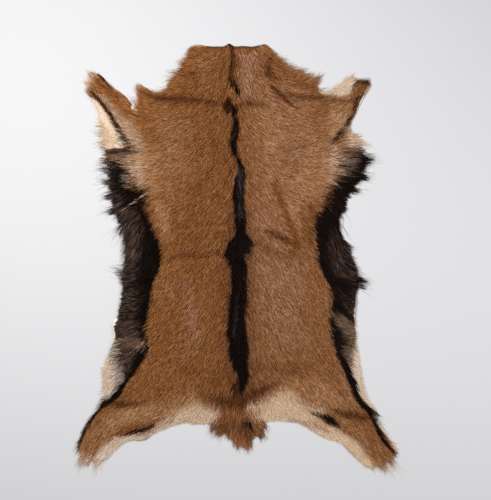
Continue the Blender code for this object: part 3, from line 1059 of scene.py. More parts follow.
    "neck's right edge": Paint("tan", 12, 0.5, [(124, 364, 14), (146, 364, 10)]),
    # Painted shade in the core of the neck's right fold and at the root of the right foreleg.
    "neck's right fold, core": Paint("umber", 12, 0.9, [(82, 368, 14), (98, 354, 14)]),
    "right foreleg's root": Paint("umber", 12, 0.45, [(184, 352, 12), (214, 350, 12)]),
    "right foreleg's pale": Paint("ash", 14, 0.65, [(222, 302, 14), (236, 280, 12)]),
    "rump's cream, middle": Paint("bone", 8, 0.75, [(26, -331, 14), (54, -330, 14)]),
    "rump's cream, left": Paint("fawn", 8, 0.5, [(-72, -345, 8), (-48, -345, 8)]),
    "right haunch's dull cream": Paint("dun", 10, 0.35, [(168, -370, 12), (192, -371, 10)]),
    "neck's left base, shade": Paint(
        "umber", 12, 0.5,
        [(-166, 340, 8), (-130, 338, 14), (-90, 335, 10), (-50, 333, 10)],
    ),
    "stripe's knot": Paint("black", 6, 0.8, [(-26, 328, 12), (-20, 338, 8)]),
}

# Tapering streaks where pale and black long hair mix, from the root to the tip.
Streak = namedtuple("Streak", "x y tip_x tip_y width")
STREAKS = {
    "bone": [
        Streak(204, 238, 236, 252, 4),
        Streak(206, 226, 240, 232, 7),
        Streak(206, 206, 238, 208, 5),
        Streak(204, 192, 230, 182, 7),
        Streak(200, 172, 220, 156, 5),
        Streak(-206, 212, -240, 214, 5),
        Streak(-206, 198, -238, 196, 7),
        Streak(-208, 180, -236, 170, 5),
        Streak(-208, 168, -232, 154, 6),
    ],
    "black": [
        Streak(244, 232, 212, 218, 5),
        Streak(240, 200, 208, 200, 6),
        Streak(228, 176, 202, 184, 5),
        Streak(-246, 206, -222, 206, 5),
        Streak(-240, 184, -216, 188, 6),
        Streak(-230, 160, -208, 164, 5),
    ],
}

# What goes over the stripe: grey where its hair shines, and brown where it thins out.
SHEEN = {
    "spine": Paint("slate", 8, 0.6, [(0, 205, 8), (4, 180, 14), (4, 150, 12), (4, 120, 8), (6, 90, 12)]),
    "loin": Paint("slate", 10, 0.35, [(-2, -80, 12), (-4, -130, 14), (-8, -180, 10)]),
    "stripe's end": Paint("umber", 12, 0.6, [(-2, -282, 14), (-4, -298, 24), (-4, -314, 30)]),
    "shoulder's spot": Paint("rust", 10, 0.45, [(-38, 346, 8), (-28, 336, 20), (-12, 328, 12)]),
    "stripe's start": Paint(
        "umber", 10, 0.7,
        [(-16, 462, 8), (-12, 445, 16), (-8, 425, 14), (-14, 400, 12), (-8, 378, 8)],
    ),
    "neck's stripe": Paint(
        "umber", 10, 0.3,
        [(-12, 312, 14), (-6, 290, 12), (-8, 262, 12), (-9, 236, 10), (0, 210, 6)],
    ),
}


def drawn(points):
    """Drawn points in the frame's own millimetres."""
    return np.array(points, float) + DRAWN_TO_FRAME


def soft_edge(reach, blur):
    """1 well inside a marking, 0 well outside, with half of the blur on either side."""
    return np.clip(reach / blur + 0.5, 0, 1)


def painted(paint, spots):
    """How strongly a paint covers each spot."""
    if len(paint.rows[0]) == 2:
        outline = drawn(paint.rows)
        gaps, _ = gaps_to_line(spots, outline)
        return soft_edge(np.where(inside_line(spots, outline), gaps, -gaps), paint.soft) * paint.full
    found = np.zeros(len(spots))
    for start, end in zip(paint.rows, paint.rows[1:], strict=False):
        a, b = drawn(start[:2]), drawn(end[:2])
        share = np.clip((spots - a) @ (b - a) / ((b - a) @ (b - a)), 0, 1)
        gap = np.hypot(*(spots - a - share[:, None] * (b - a)).T)
        width = start[2] + (end[2] - start[2]) * share
        reach = soft_edge(width / 2 - gap, paint.soft) / soft_edge(width / 2, paint.soft)
        found = np.maximum(found, reach * soft_edge(width / 2, paint.soft) ** 0.5)
    return found * paint.full


def stripe_mask(spots, blur):
    """How strongly the black stripe down the spine covers each spot."""
    rows = np.array(STRIPE[::-1], float)
    y = spots[:, 1] - DRAWN_TO_FRAME[1]
    x = spots[:, 0] - DRAWN_TO_FRAME[0]
    left, right = np.interp(y, rows[:, 0], rows[:, 1]), np.interp(y, rows[:, 0], rows[:, 2])
    within = soft_edge(np.minimum(x - left, right - x), blur)
    return within * ((y > rows[0, 0]) & (y < rows[-1, 0]))


def srgb(red, green, blue):
    """A colour as a paint chart gives it, out of 255, in the shader's own scale."""
    parts = (red / 255, green / 255, blue / 255)
    return tuple(c / 12.92 if c < 0.0404 else ((c + 0.055) / 1.055) ** 2.4 for c in parts)


BROWN_LEFT, BROWN_RIGHT = srgb(141, 90, 49), srgb(138, 91, 54)
HALVES_BLEND = 60.0  # width over which the left brown turns into the right one
STREAK_SOFT, STREAK_SHARE, STREAK_TIP = 6, 0.6, 1
STRIPE_SOFT = 10
HAIR_BY_HAIR = {"black", "taupe"}
HAIR_BLEND = 0.35  # how gently a hair takes one of those
SOFT_EDGE = 28  # a marking this soft is taken fully in part
LEAST_BLEND, MOST_BLEND = 0.3, 1.2


def streak_cover(rows):
    """How strongly a table of tapering streaks covers the hide."""
    covers = []
    for s in rows:
        line = [(s.x, s.y, s.width), (s.tip_x, s.tip_y, STREAK_TIP)]
        covers.append(painted(Paint("", STREAK_SOFT, STREAK_SHARE, line), Field.spots))
    return np.max(covers, 0)


layers = [(p.colour, p.soft, painted(p, Field.spots)) for p in PAINTS.values()]
layers += [(colour, STREAK_SOFT, streak_cover(rows)) for colour, rows in STREAKS.items()]
layers.append(("black", STRIPE_SOFT, stripe_mask(Field.spots, STRIPE_SOFT)))
layers += [(p.colour, p.soft, painted(p, Field.spots)) for p in SHEEN.values()]
coat = Field(np.stack([cover for _, _, cover in layers], 1))


def coat_colour(spots, chances):
    """Each hair's colour: it takes a paint where its own chance is below the paint's cover.

    Black and taupe go hair by hair. A hair takes other soft markings in part, so that
    they run together.
    """
    side = np.clip(spots[:, 0] / HALVES_BLEND + 0.4, 0, 1)[:, None]
    colour = np.array(BROWN_LEFT) * (1 - side) + np.array(BROWN_RIGHT) * side
    covers = coat.at(spots)
    for (paint, soft, _), cover in zip(layers, covers.T, strict=True):
        blend = np.clip(soft / SOFT_EDGE, LEAST_BLEND, MOST_BLEND)
        if paint in HAIR_BY_HAIR:
            blend = HAIR_BLEND
        share = np.clip((cover * (1 + blend) - chances) / blend, 0, 1)[:, None]
        colour = colour * (1 - share) + np.array(srgb(*COLOURS[paint])) * share
    return colour


# Where the skin's edge shows no hair: the middle of the stretch, how far it
# reaches along the rim, how wide it is, and whether it is pale rawhide or dark.
# The dark stretches are partly the cut edge's own colour and partly painted
# shadow at the edge.
Bare = namedtuple("Bare", "x y reach width pale")
BARE = [
    Bare(-50, 464, 26, 2.0, 0.0),
    Bare(18, 464, 32, 2.0, 0.0),
    Bare(270, 338, 22, 1.3, 1.0),
    Bare(226, 68, 34, 2.5, 0.7),
    Bare(260, -98, 24, 2.6, 1.0),
    Bare(257, -132, 20, 6.0, 1.0),
    Bare(263, -172, 30, 7.0, 1.0),
    Bare(-270, -143, 20, 9.0, 1.0),
    Bare(-273, -172, 24, 4.5, 1.0),
    Bare(-279, -200, 20, 2.5, 0.9),
    Bare(240, -420, 30, 2.0, 0.4),
    Bare(-215, -404, 26, 1.5, 0.4),
    Bare(-229, 326, 9, 1.4, 1.0),
    Bare(110, -362, 60, 1.0, 0.4),
]


def bare_field():
    """How wide the hairless edge is near each spot, and how pale."""
    width, pale = np.zeros(len(Field.spots)), np.ones(len(Field.spots))
    for bare in BARE:
        gap = np.hypot(*(Field.spots - drawn((bare.x, bare.y))).T) / bare.reach
        here = bare.width * np.clip(1.6 * (1 - gap**2), 0, 1)
        pale = np.where(here > width, bare.pale, pale)
        width = np.maximum(width, here)
    return Field(width), Field(pale)


bare_near, bare_pale = bare_field()

# The comb: which way the hair lies, and how long it grows, at strokes over the
# hide. It runs from neck to tail and from spine to belly, and out along the
# legs. way is in degrees from +X, length in millimetres. The rows for both
# halves are given for the right one.
Stroke = namedtuple("Stroke", "x y way length")
BOTH_HALVES = [
    Stroke(20, 440, -75, 15),
    Stroke(60, 445, -35, 15),
    Stroke(92, 428, 5, 15),
    Stroke(25, 395, -70, 17),
    Stroke(75, 395, -40, 17),
    Stroke(125, 405, 8, 17),
    Stroke(25, 335, -70, 19),
    Stroke(90, 342, -35, 19),
    Stroke(155, 350, -10, 19),
    Stroke(25, 260, -65, 19),
    Stroke(85, 270, -42, 19),
    Stroke(150, 280, -18, 20),
    Stroke(212, 285, 15, 20),
    Stroke(25, 200, -65, 19),
    Stroke(75, 200, -46, 19),
    Stroke(140, 212, -25, 20),
    Stroke(195, 215, -8, 21),
    Stroke(245, 213, -2, 34),
    Stroke(278, 215, 0, 36),
    Stroke(60, 140, -52, 19),
    Stroke(130, 150, -40, 20),
    Stroke(195, 158, -22, 21),
    Stroke(245, 158, -10, 36),
    Stroke(275, 170, -4, 36),
    Stroke(60, 70, -55, 19),
    Stroke(135, 80, -46, 19),
    Stroke(190, 92, -40, 19),
    Stroke(40, 0, -60, 19),
    Stroke(100, 10, -52, 19),
    Stroke(166, 30, -50, 17),
    Stroke(50, -70, -60, 19),
    Stroke(120, -70, -52, 19),
    Stroke(176, -40, -53, 17),
    Stroke(50, -150, -62, 19),
    Stroke(125, -140, -54, 19),
    Stroke(190, -115, -58, 18),
    Stroke(60, -220, -60, 19),
    Stroke(145, -205, -53, 19),
    Stroke(200, -190, -55, 18),
    Stroke(60, -290, -60, 20),
    Stroke(145, -275, -52, 20),
    Stroke(222, -250, -56, 18),
    Stroke(15, -330, -85, 22),
    Stroke(90, -330, -60, 20),
    Stroke(160, -330, -48, 19),
    Stroke(230, -320, -48, 20),
    Stroke(265, -300, -55, 20),
    Stroke(295, -360, -52, 22),
    Stroke(245, -368, -40, 19),
    Stroke(192, -375, -38, 16),
    Stroke(322, -400, -54, 24),
    Stroke(275, -415, -50, 22),
    Stroke(342, -436, -52, 34),
    Stroke(312, -447, -56, 34),
]
LEFT_ONLY = [
    Stroke(-215, 365, 150, 16),
    Stroke(-240, 335, 145, 15),
    Stroke(-280, 365, 138, 14),
    Stroke(-315, 388, 130, 15),
    Stroke(-300, 335, 135, 13),
    Stroke(-292, 300, 150, 15),
    Stroke(-300, 262, 170, 22),
    Stroke(-282, 112, 192, 32),
    Stroke(-245, 98, 212, 38),
    Stroke(-240, 50, 248, 38),
    Stroke(-212, 45, 256, 40),
    Stroke(-240, 5, 238, 34),
    Stroke(-207, -10, 250, 42),
    Stroke(-253, -38, 165, 30),
    Stroke(-225, -62, 205, 40),
    Stroke(-250, -98, 168, 28),
    Stroke(-228, -132, 200, 36),
    Stroke(-266, -188, 190, 26),
    Stroke(-238, -180, 182, 34),
    Stroke(-293, -242, 200, 22),
    Stroke(-262, -240, 218, 28),
    Stroke(-296, -292, 198, 20),
    Stroke(-258, -292, 225, 22),
]
RIGHT_ONLY = [
    Stroke(60, 300, -32, 19),
    Stroke(100, 296, -14, 19),
    Stroke(160, 300, 4, 20),
    Stroke(90, 258, -10, 19),
    Stroke(110, 234, 12, 20),
    Stroke(160, 242, 18, 20),
    Stroke(200, 244, 22, 22),
    Stroke(70, 226, -16, 19),
    Stroke(120, 192, -6, 20),
    Stroke(165, 196, 2, 20),
    Stroke(215, 242, 22, 24),
    Stroke(240, 236, 8, 30),
    Stroke(170, 388, 30, 22),
    Stroke(220, 365, 38, 15),
    Stroke(250, 388, 45, 16),
    Stroke(275, 382, 35, 12),
    Stroke(262, 350, 60, 10),
    Stroke(245, 318, 52, 12),
    Stroke(238, 288, 35, 16),
    Stroke(245, 262, 5, 24),
    Stroke(268, 252, -8, 28),
    Stroke(235, 130, -20, 30),
    Stroke(212, 112, -35, 36),
    Stroke(205, 60, -72, 36),
    Stroke(225, 60, -62, 22),
    Stroke(215, 0, -68, 38),
    Stroke(246, -8, -30, 30),
    Stroke(225, -62, -50, 38),
    Stroke(253, -58, -12, 34),
    Stroke(235, -140, -42, 34),
    Stroke(252, -155, -25, 24),
    Stroke(236, -185, 12, 30),
    Stroke(260, -195, -25, 20),
    Stroke(272, -230, -45, 22),
    Stroke(280, -275, -48, 20),
    Stroke(258, -262, -56, 22),
    Stroke(292, -315, -42, 24),
]
TAIL = [
    Stroke(0, -370, -95, 28),
    Stroke(2, -402, -92, 28),
    Stroke(-38, -374, -140, 26),
    Stroke(42, -372, -50, 26),
]
COMB_BLUR = 12.0  # a stroke rules about this far round itself


def comb_field():
    """The hair's way and length all over the hide, from the strokes nearest to each spot."""
    mirrored = [Stroke(-s.x, s.y, 180 - s.way, s.length) for s in BOTH_HALVES]
    strokes = np.array(BOTH_HALVES + mirrored + LEFT_ONLY + RIGHT_ONLY + TAIL, float)
    places = strokes[:, :2] + DRAWN_TO_FRAME
    way = np.radians(strokes[:, 2])
    facts = np.stack([np.cos(way), np.sin(way), strokes[:, 3]], 1)
    total, weights = np.zeros((len(Field.spots), 3)), np.zeros(len(Field.spots))
    for place, fact in zip(places, facts, strict=True):
        weight = (((Field.spots - place) ** 2).sum(1) + COMB_BLUR**2) ** -2.0
        total += weight[:, None] * fact
        weights += weight
    return Field(total / weights[:, None])


comb = comb_field()


class Socket:
    """A shader value that takes part in sums."""

    def __init__(self, tree, socket):
        self.tree, self.socket = tree, socket

    def math(self, operation, *others):
        node = self.tree.nodes.new("ShaderNodeMath")
        node.operation = operation
        for place, value in zip(node.inputs, (self, *others), strict=False):
            put(self.tree, place, value)
        return Socket(self.tree, node.outputs[0])

    def __add__(self, other):
        return self.math("ADD", other)

    __radd__ = __add__

    def __mul__(self, other):
        return self.math("MULTIPLY", other)

    __rmul__ = __mul__

    def __sub__(self, other):
        return self.math("SUBTRACT", other)

    def __rsub__(self, other):
        return (self * -1.0).math("ADD", other)

    def clamp(self):
        return self.math("MAXIMUM", 0.0).math("MINIMUM", 1.0)


def put(tree, place, value):
    """Sets a socket to a number or a colour, or links it to another socket."""
    if isinstance(value, Socket):
        tree.links.new(value.socket, place)
    elif isinstance(value, tuple) and len(value) == 3 and place.type == "RGBA":
        place.default_value = (*value, 1.0)
    else:
        place.default_value = value


class Finish:
    """A material whose nodes are added one at a time."""

    def __init__(self, name, roughness, specular):
        self.material = bpy.data.materials.new(name)
        self.material.use_nodes = True
        self.tree = self.material.node_tree
        self.shader = self.tree.nodes["Principled BSDF"]
        self.shader.inputs["Roughness"].default_value = roughness
        self.shader.inputs["Specular IOR Level"].default_value = specular

    def node(self, kind, settings=None, output=0, **sockets):
        """Adds a node with its settings, then its sockets by name, or by number as in in0."""
        made = self.tree.nodes.new("ShaderNode" + kind)
        for key, value in (settings or {}).items():
            setattr(made, key, value)
        for key, value in sockets.items():
            key = key.replace("_", " ")
            put(self.tree, made.inputs[int(key[2:]) if key.startswith("in") else key], value)
        return Socket(self.tree, made.outputs[output])

    def place(self):
        return self.node("TexCoord", output="Object")

    def attribute(self, name):
        return self.node("Attribute", {"attribute_name": name}, "Color")

    def parts(self, vector):
        """The three numbers in a colour or a place."""
        made = self.tree.nodes.new("ShaderNodeSeparateXYZ")
        put(self.tree, made.inputs[0], vector)
        return [Socket(self.tree, out) for out in made.outputs]

    def noise(self, scale, detail=2.0, roughness=0.5, distortion=0.0):
        facts = {"Scale": scale, "Detail": detail, "Roughness": roughness, "Distortion": distortion}
        return self.node("TexNoise", None, "Fac", Vector=self.place(), **facts)

    def between(self, value, low, high):
        """0 where value is low or less, 1 where it is high or more."""
        return ((value - low) * (1.0 / (high - low))).clamp()

    def mix(self, share, first, second):
        made = self.tree.nodes.new("ShaderNodeMix")
        made.data_type = "RGBA"
        for place, value in ((0, share), (6, first), (7, second)):
            put(self.tree, made.inputs[place], value)
        return Socket(self.tree, made.outputs[2])

    def scaled(self, colour, factor):
        made = self.tree.nodes.new("ShaderNodeVectorMath")
        made.operation = "SCALE"
        put(self.tree, made.inputs[0], colour)
        put(self.tree, made.inputs["Scale"], factor)
        return Socket(self.tree, made.outputs[0])

    def toned(self, colour, shade):
        """The colour, paler as a painted highlight where shade is over 1, and darker and warmer as
        painted shade where it is under.
        """
        red, green, blue = (shade.math("POWER", power) for power in (0.8, 1.15, 1.6))
        tone = self.node("CombineXYZ", X=red, Y=green, Z=blue)
        lit = self.node("VectorMath", {"operation": "MULTIPLY"}, in0=colour, in1=tone)
        return self.node("VectorMath", {"operation": "MINIMUM"}, in0=lit, in1=(0.9, 0.9, 0.9))

    def bump(self, height, distance, strength):
        return self.node("Bump", None, "Normal", Height=height, Distance=distance, Strength=strength)

    def wear(self, colour, normal=None):
        """The material, with its colour and, where it has one, its bump."""
        put(self.tree, self.shader.inputs["Base Color"], colour)
        if normal is not None:
            put(self.tree, self.shader.inputs["Normal"], normal)
        return self.material


def tucked_rim():
    """The skin's own edge, inside the outline by a share of the fringe there."""
    tuck = rim_fringe * TUCK_SHARE
    ahead = np.roll(rim, -1, 0) - np.roll(rim, 1, 0)
    for _ in range(6):
        tuck = (np.roll(tuck, 1) + 2 * tuck + np.roll(tuck, -1)) / 4
        ahead = (np.roll(ahead, 1, 0) + 2 * ahead + np.roll(ahead, -1, 0)) / 4
    outward = np.stack([-ahead[:, 1], ahead[:, 0]], 1)
    outward /= np.linalg.norm(outward, axis=1)[:, None]
    return rim - outward * tuck[:, None]


ROW_GAP = 0.866  # between offset rows, as a share of the pitch


def even_grid(pitch, low, high, draw=None):
    """Points in offset rows, each moved at random within its cell if a draw is given."""
    columns = int((high[0] - low[0]) / pitch) + 2
    rows = int((high[1] - low[1]) / pitch / ROW_GAP) + 2
    column, row = (a.ravel() for a in np.meshgrid(np.arange(columns), np.arange(rows)))
    x = (column + row % 2 / 2) * pitch + low[0]
    y = row * pitch * ROW_GAP + low[1]
    found = np.stack([x, y], 1)
    if draw is not None:
        found += draw.uniform(-pitch / 2, pitch / 2, found.shape)
    return found


skin_rim = tucked_rim()
inner = even_grid(SKIN_PITCH, rim.min(0), rim.max(0))
inner = inner[rim_gap.at(inner) > SKIN_PITCH / 2 + fringe_near.at(inner) * TUCK_SHARE]
inner = inner[inside_line(inner, skin_rim)]
inner = inner[gaps_to_line(inner, skin_rim)[0] > SKIN_PITCH * 0.6]
skin_spots = [Vector(p) for p in np.concatenate([skin_rim, inner])]
laid = delaunay_2d_cdt(skin_spots, [], [list(range(len(skin_rim)))], 1, 1e-4)
flat_spots, triangles = np.array([tuple(p) for p in laid[0]]), laid[2]
heights = skin_top.at(flat_spots)
skin_mesh = bpy.data.meshes.new("goat_leather")
skin_mesh.from_pydata(np.column_stack([flat_spots, heights]) * MM, [], triangles)
skin = bpy.data.objects.new("goat_leather", skin_mesh)
bpy.context.scene.collection.objects.link(skin)
bpy.ops.object.select_all(action="DESELECT")
skin.select_set(True)
bpy.context.view_layer.objects.active = skin
bpy.ops.object.mode_set(mode="EDIT")
bpy.ops.mesh.select_all(action="SELECT")
bpy.ops.mesh.normals_make_consistent(inside=False)
bpy.ops.object.mode_set(mode="OBJECT")
if skin_mesh.polygons[0].normal.z < 0:
    skin_mesh.flip_normals()
thicken = skin.modifiers.new("leather", "SOLIDIFY")
thicken.thickness = LEATHER * MM
thicken.offset = -1.0
thicken.material_offset = 1
thicken.material_offset_rim = 1
bpy.ops.object.modifier_apply(modifier="leather")
bpy.ops.object.shade_smooth_by_angle(angle=math.radians(40))


def under_fur():
    """The skin's hair side: down in the coat's colours darkened as painted shade under the hair, and bare
    rawhide at the edge.
    """
    finish = Finish("under_fur", 0.9, specular=0.2)
    down = finish.noise(900.0, detail=3.0)
    markings = finish.attribute("coat")
    pale = finish.between(finish.parts(markings)[1], 0.15, 0.5) * 0.8
    # Painted shade: the coat's colours darkened where the skin shows between the hairs, less so on pale
    # hair.
    coat_tone = finish.toned(markings, (down * 0.3 + 0.25) * (1.0 - pale) + pale * 0.85)
    bare, pale, _ = finish.parts(finish.attribute("bare"))
    # The dark end is partly the cut edge's own colour and partly painted shadow at it.
    rawhide = finish.mix(pale, srgb(74, 60, 42), srgb(248, 231, 200))
    rawhide = finish.scaled(rawhide, finish.noise(260.0, detail=3.0) * 0.4 + 0.8)
    colour = finish.mix(bare, coat_tone, rawhide)
    return finish.wear(colour, finish.bump(down, 0.0006, 0.5))


def flesh_side():
    """Tanned flesh side and cut edge: pale suede, with fine nap and yellower rawhide patches."""
    finish = Finish("flesh_side", 0.85, specular=0.3)
    nap = finish.noise(1400.0, detail=4.0, roughness=0.6)
    patch = finish.noise(14.0, detail=3.0, distortion=0.6)
    pale = finish.mix(patch, srgb(233, 220, 196), srgb(206, 184, 146))
    veins = finish.between(finish.noise(38.0, detail=4.0, distortion=1.4), 0.56, 0.66)
    colour = finish.mix(veins * 0.35, pale, srgb(178, 150, 116))
    colour = finish.mix(nap * 0.25, colour, srgb(244, 236, 222))
    return finish.wear(colour, finish.bump(nap, 0.0005, 0.4))


def give_colour(mesh, name, values):
    """Gives every corner point of a mesh its own colour, of red, green, blue and 1."""
    held = mesh.color_attributes.new(name, "FLOAT_COLOR", "POINT")
    with_alpha = np.column_stack([values, np.ones(len(values))])
    held.data.foreach_set("color", with_alpha.astype(np.float32).ravel())


skin_mesh = skin.data
skin_at = np.empty(len(skin_mesh.vertices) * 3, np.float32)
skin_mesh.vertices.foreach_get("co", skin_at)
skin_at = skin_at.reshape(-1, 3)[:, :2].astype(float) / MM
to_edge = gaps_to_line(skin_at, skin_rim)[0]
bare_width = bare_near.at(skin_at)
UNDER_HAIR, BARE_SOFT, LEAST_BARE = 3.0, 2.0, 0.3
shows = np.clip((bare_width + UNDER_HAIR - to_edge) / BARE_SOFT, 0, 1) * (bare_width > LEAST_BARE)
give_colour(skin_mesh, "coat", coat_colour(skin_at, np.full(len(skin_at), 0.5)))
give_colour(skin_mesh, "bare", np.column_stack([shows, bare_pale.at(skin_at), shows]))
skin_mesh.materials.append(under_fur())
skin_mesh.materials.append(flesh_side())
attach(skin, "root")
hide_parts("goatskin")


# The coat: goat hair, rooted in the skin and combed flat. Each hair is a closed
# three-sided spindle that ends in a point and stands for several real ones. The
# hairs of a tuft lie together.
def goat_hair():
    """Goat hair: the coat's colours, darker towards each hair's root as painted shade, and no two hairs
    or tufts alike.
    """
    finish = Finish("goat_hair", 0.55, specular=0.03)
    coat_tone = finish.attribute("coat")
    pale = finish.between(finish.parts(coat_tone)[1], 0.15, 0.5) * 0.75
    along, own, tuft = finish.parts(finish.attribute("strand"))
    cloud = finish.between(finish.noise(26.0, detail=3.0, roughness=0.6), 0.35, 0.7)
    mottle = finish.between(finish.noise(70.0, detail=2.0), 0.35, 0.7)
    # along darkens each hair towards its root as painted shade under the tips that lie over it; own,
    # tuft, cloud and mottle vary the tone at random.
    shade = (own * 0.95 + 0.52) * (tuft * 0.8 + 0.63) * (along * 1.1 + 0.4)
    shade = shade * (cloud * 0.1 + 0.95) * (mottle * 0.12 + 0.94)
    shade = shade * (1.0 - pale) + pale
    return finish.wear(finish.toned(coat_tone, shade))


hair_finish = goat_hair()
FLOOR_GAP = 0.25  # a hair on the floor keeps this much air under it
ROOT_SINK = 0.3  # into the skin
SKIN_DROP, PILE_DROP = 7.0, 16.0  # past the rim, how soon hair sinks to the floor
SIDES = 3
TAPER = {1: (1.0,), 2: (0.9, 0.85)}  # a hair's width at each ring, from the root
FLATNESS = 0.7  # a hair's height against its width
ROOT_HEIGHT = 0.12  # of a hair's own strip of texture, kept for the root
CELL_MARGIN = 0.15


def hair_paths(roots, turns, lengths, curls, pulls, heights, rings):
    """The points of every hair.

    It rises, lies over along the comb, and drops to the floor past the rim.
    """
    spots, flat = [roots], roots
    for k in range(rings):
        combed = comb.at(flat)
        angle = np.arctan2(combed[:, 1], combed[:, 0]) + turns + curls * k
        way = np.stack([np.cos(angle), np.sin(angle)], 1)
        flat = flat + way * (lengths / rings)[:, None]
        spots.append(flat)
    points = []
    for k, flat in enumerate(spots):
        t = k / rings
        flat = flat + pulls * t**1.5
        outside = np.clip(-rim_gap.at(flat), 0, None)
        base = skin_top.at(flat) * np.exp(-outside / SKIN_DROP)
        stand = heights * (1 - (1 - t) ** 1.8) * np.exp(-outside / PILE_DROP)
        points.append(np.column_stack([flat, base + stand - ROOT_SINK * (k == 0)]))
    return np.stack(points, 1)


def hair_mesh(name, paths, widths, colours, tones):
    """One mesh of closed three-sided hairs, each one or two rings and a tip."""
    count, rings = len(paths), paths.shape[1] - 1
    ahead = np.empty((count, rings, 3))
    for k in range(rings):
        ahead[:, k] = paths[:, k + 1] - paths[:, max(k - 1, 0)]
    ahead /= np.linalg.norm(ahead, axis=2)[:, :, None]
    side = np.cross((0.0, 0.0, 1.0), ahead)
    side /= np.linalg.norm(side, axis=2)[:, :, None]
    up = np.cross(ahead, side)
    turn = 2 * np.pi * (np.arange(SIDES) / SIDES - 0.25) + (tones[:, 0, None] - 0.5) * 0.8
    radius = widths[:, None] / 2 * np.array(TAPER[rings])
    rounds = (
        side[:, :, None] * np.cos(turn)[:, None, :, None]
        + up[:, :, None] * np.sin(turn)[:, None, :, None] * FLATNESS
    )
    corners = paths[:, :rings, None] + rounds * radius[:, :, None, None]
    points = np.concatenate([corners.reshape(count, rings * SIDES, 3), paths[:, -1:]], 1)
    points[:, :, 2] = np.maximum(points[:, :, 2], FLOOR_GAP)
    per_hair = rings * SIDES + 1
    tip = rings * SIDES
    faces, spread = [(0, 2, 1)], [((0.2, 0.0), (0.5, 0.1), (0.8, 0.0))]
    for k in range(rings):
        low, high = (ROOT_HEIGHT + (1 - ROOT_HEIGHT) * ring / rings for ring in (k, k + 1))
        for j in range(SIDES):
            a, b = k * SIDES + j, k * SIDES + (j + 1) % SIDES
            left, right = j / SIDES, (j + 1) / SIDES
            if k == rings - 1:
                faces.append((a, b, tip))
                spread.append(((left, low), (right, low), ((left + right) / 2, high)))
            else:
                faces += [(a, b, b + SIDES), (a, b + SIDES, a + SIDES)]
                spread.append(((left, low), (right, low), (right, high)))
                spread.append(((left, low), (right, high), (left, high)))
    faces, spread = np.array(faces), np.array(spread)
    mesh = bpy.data.meshes.new(name)
    corner_at = (np.arange(count)[:, None, None] * per_hair + faces).ravel()
    mesh.vertices.add(count * per_hair)
    mesh.vertices.foreach_set("co", (points * MM).astype(np.float32).ravel())
    mesh.loops.add(len(corner_at))
    mesh.loops.foreach_set("vertex_index", corner_at.astype(np.int32))
    mesh.polygons.add(len(corner_at) // 3)
    mesh.polygons.foreach_set("loop_start", np.arange(0, len(corner_at), 3, dtype=np.int32))
    mesh.update(calc_edges=True)
    mesh.polygons.foreach_set("use_smooth", np.zeros(len(corner_at) // 3, bool))
    cells = math.ceil(math.sqrt(count))
    cell = np.stack([np.arange(count) % cells, np.arange(count) // cells], 1)
    uv = (cell[:, None, None] + CELL_MARGIN + spread[None] * (1 - 2 * CELL_MARGIN)) / cells
    layer = mesh.uv_layers.new(name="OFBake")
    layer.uv.foreach_set("vector", uv.astype(np.float32).ravel())
    along = np.tile(np.append(np.repeat(np.arange(rings) / rings, SIDES), 1.0), count)
    give_colour(mesh, "coat", np.repeat(colours, per_hair, 0))
    give_colour(mesh, "strand", np.column_stack([along, np.repeat(tones, per_hair, 0)]))
    mesh.materials.append(hair_finish)
    piece = bpy.data.objects.new(name, mesh)
    bpy.context.scene.collection.objects.link(piece)
    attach(piece, "root")
    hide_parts("goatskin")
    return piece


def nearest_tuft(roots, tufts, pitch):
    """The number of the tuft that each root belongs to: the nearest one in the cells round it."""
    low = tufts.min(0)
    columns = int(np.ptp(tufts[:, 0]) / pitch) + 2
    table = {}
    for i, key in enumerate(map(tuple, ((tufts - low) // pitch).astype(int))):
        table.setdefault(key, []).append(i)
    most = max(len(v) for v in table.values())
    rows = int(np.ptp(tufts[:, 1]) / pitch) + 2
    cells = np.full((columns + 2, rows + 2, most), -1)
    for (column, row), items in table.items():
        cells[column + 1, row + 1, : len(items)] = items
    home = np.clip(((roots - low) // pitch).astype(int) + 1, 1, (columns, rows))
    best, chosen = np.full(len(roots), np.inf), np.zeros(len(roots), int)
    for dx in (-1, 0, 1):
        for dy in (-1, 0, 1):
            for k in range(most):
                found = cells[home[:, 0] + dx, home[:, 1] + dy, k]
                gap = np.where(found < 0, np.inf, ((roots - tufts[found]) ** 2).sum(1))
                nearer = gap < best
                best[nearer], chosen[nearer] = gap[nearer], found[nearer]
    return chosen


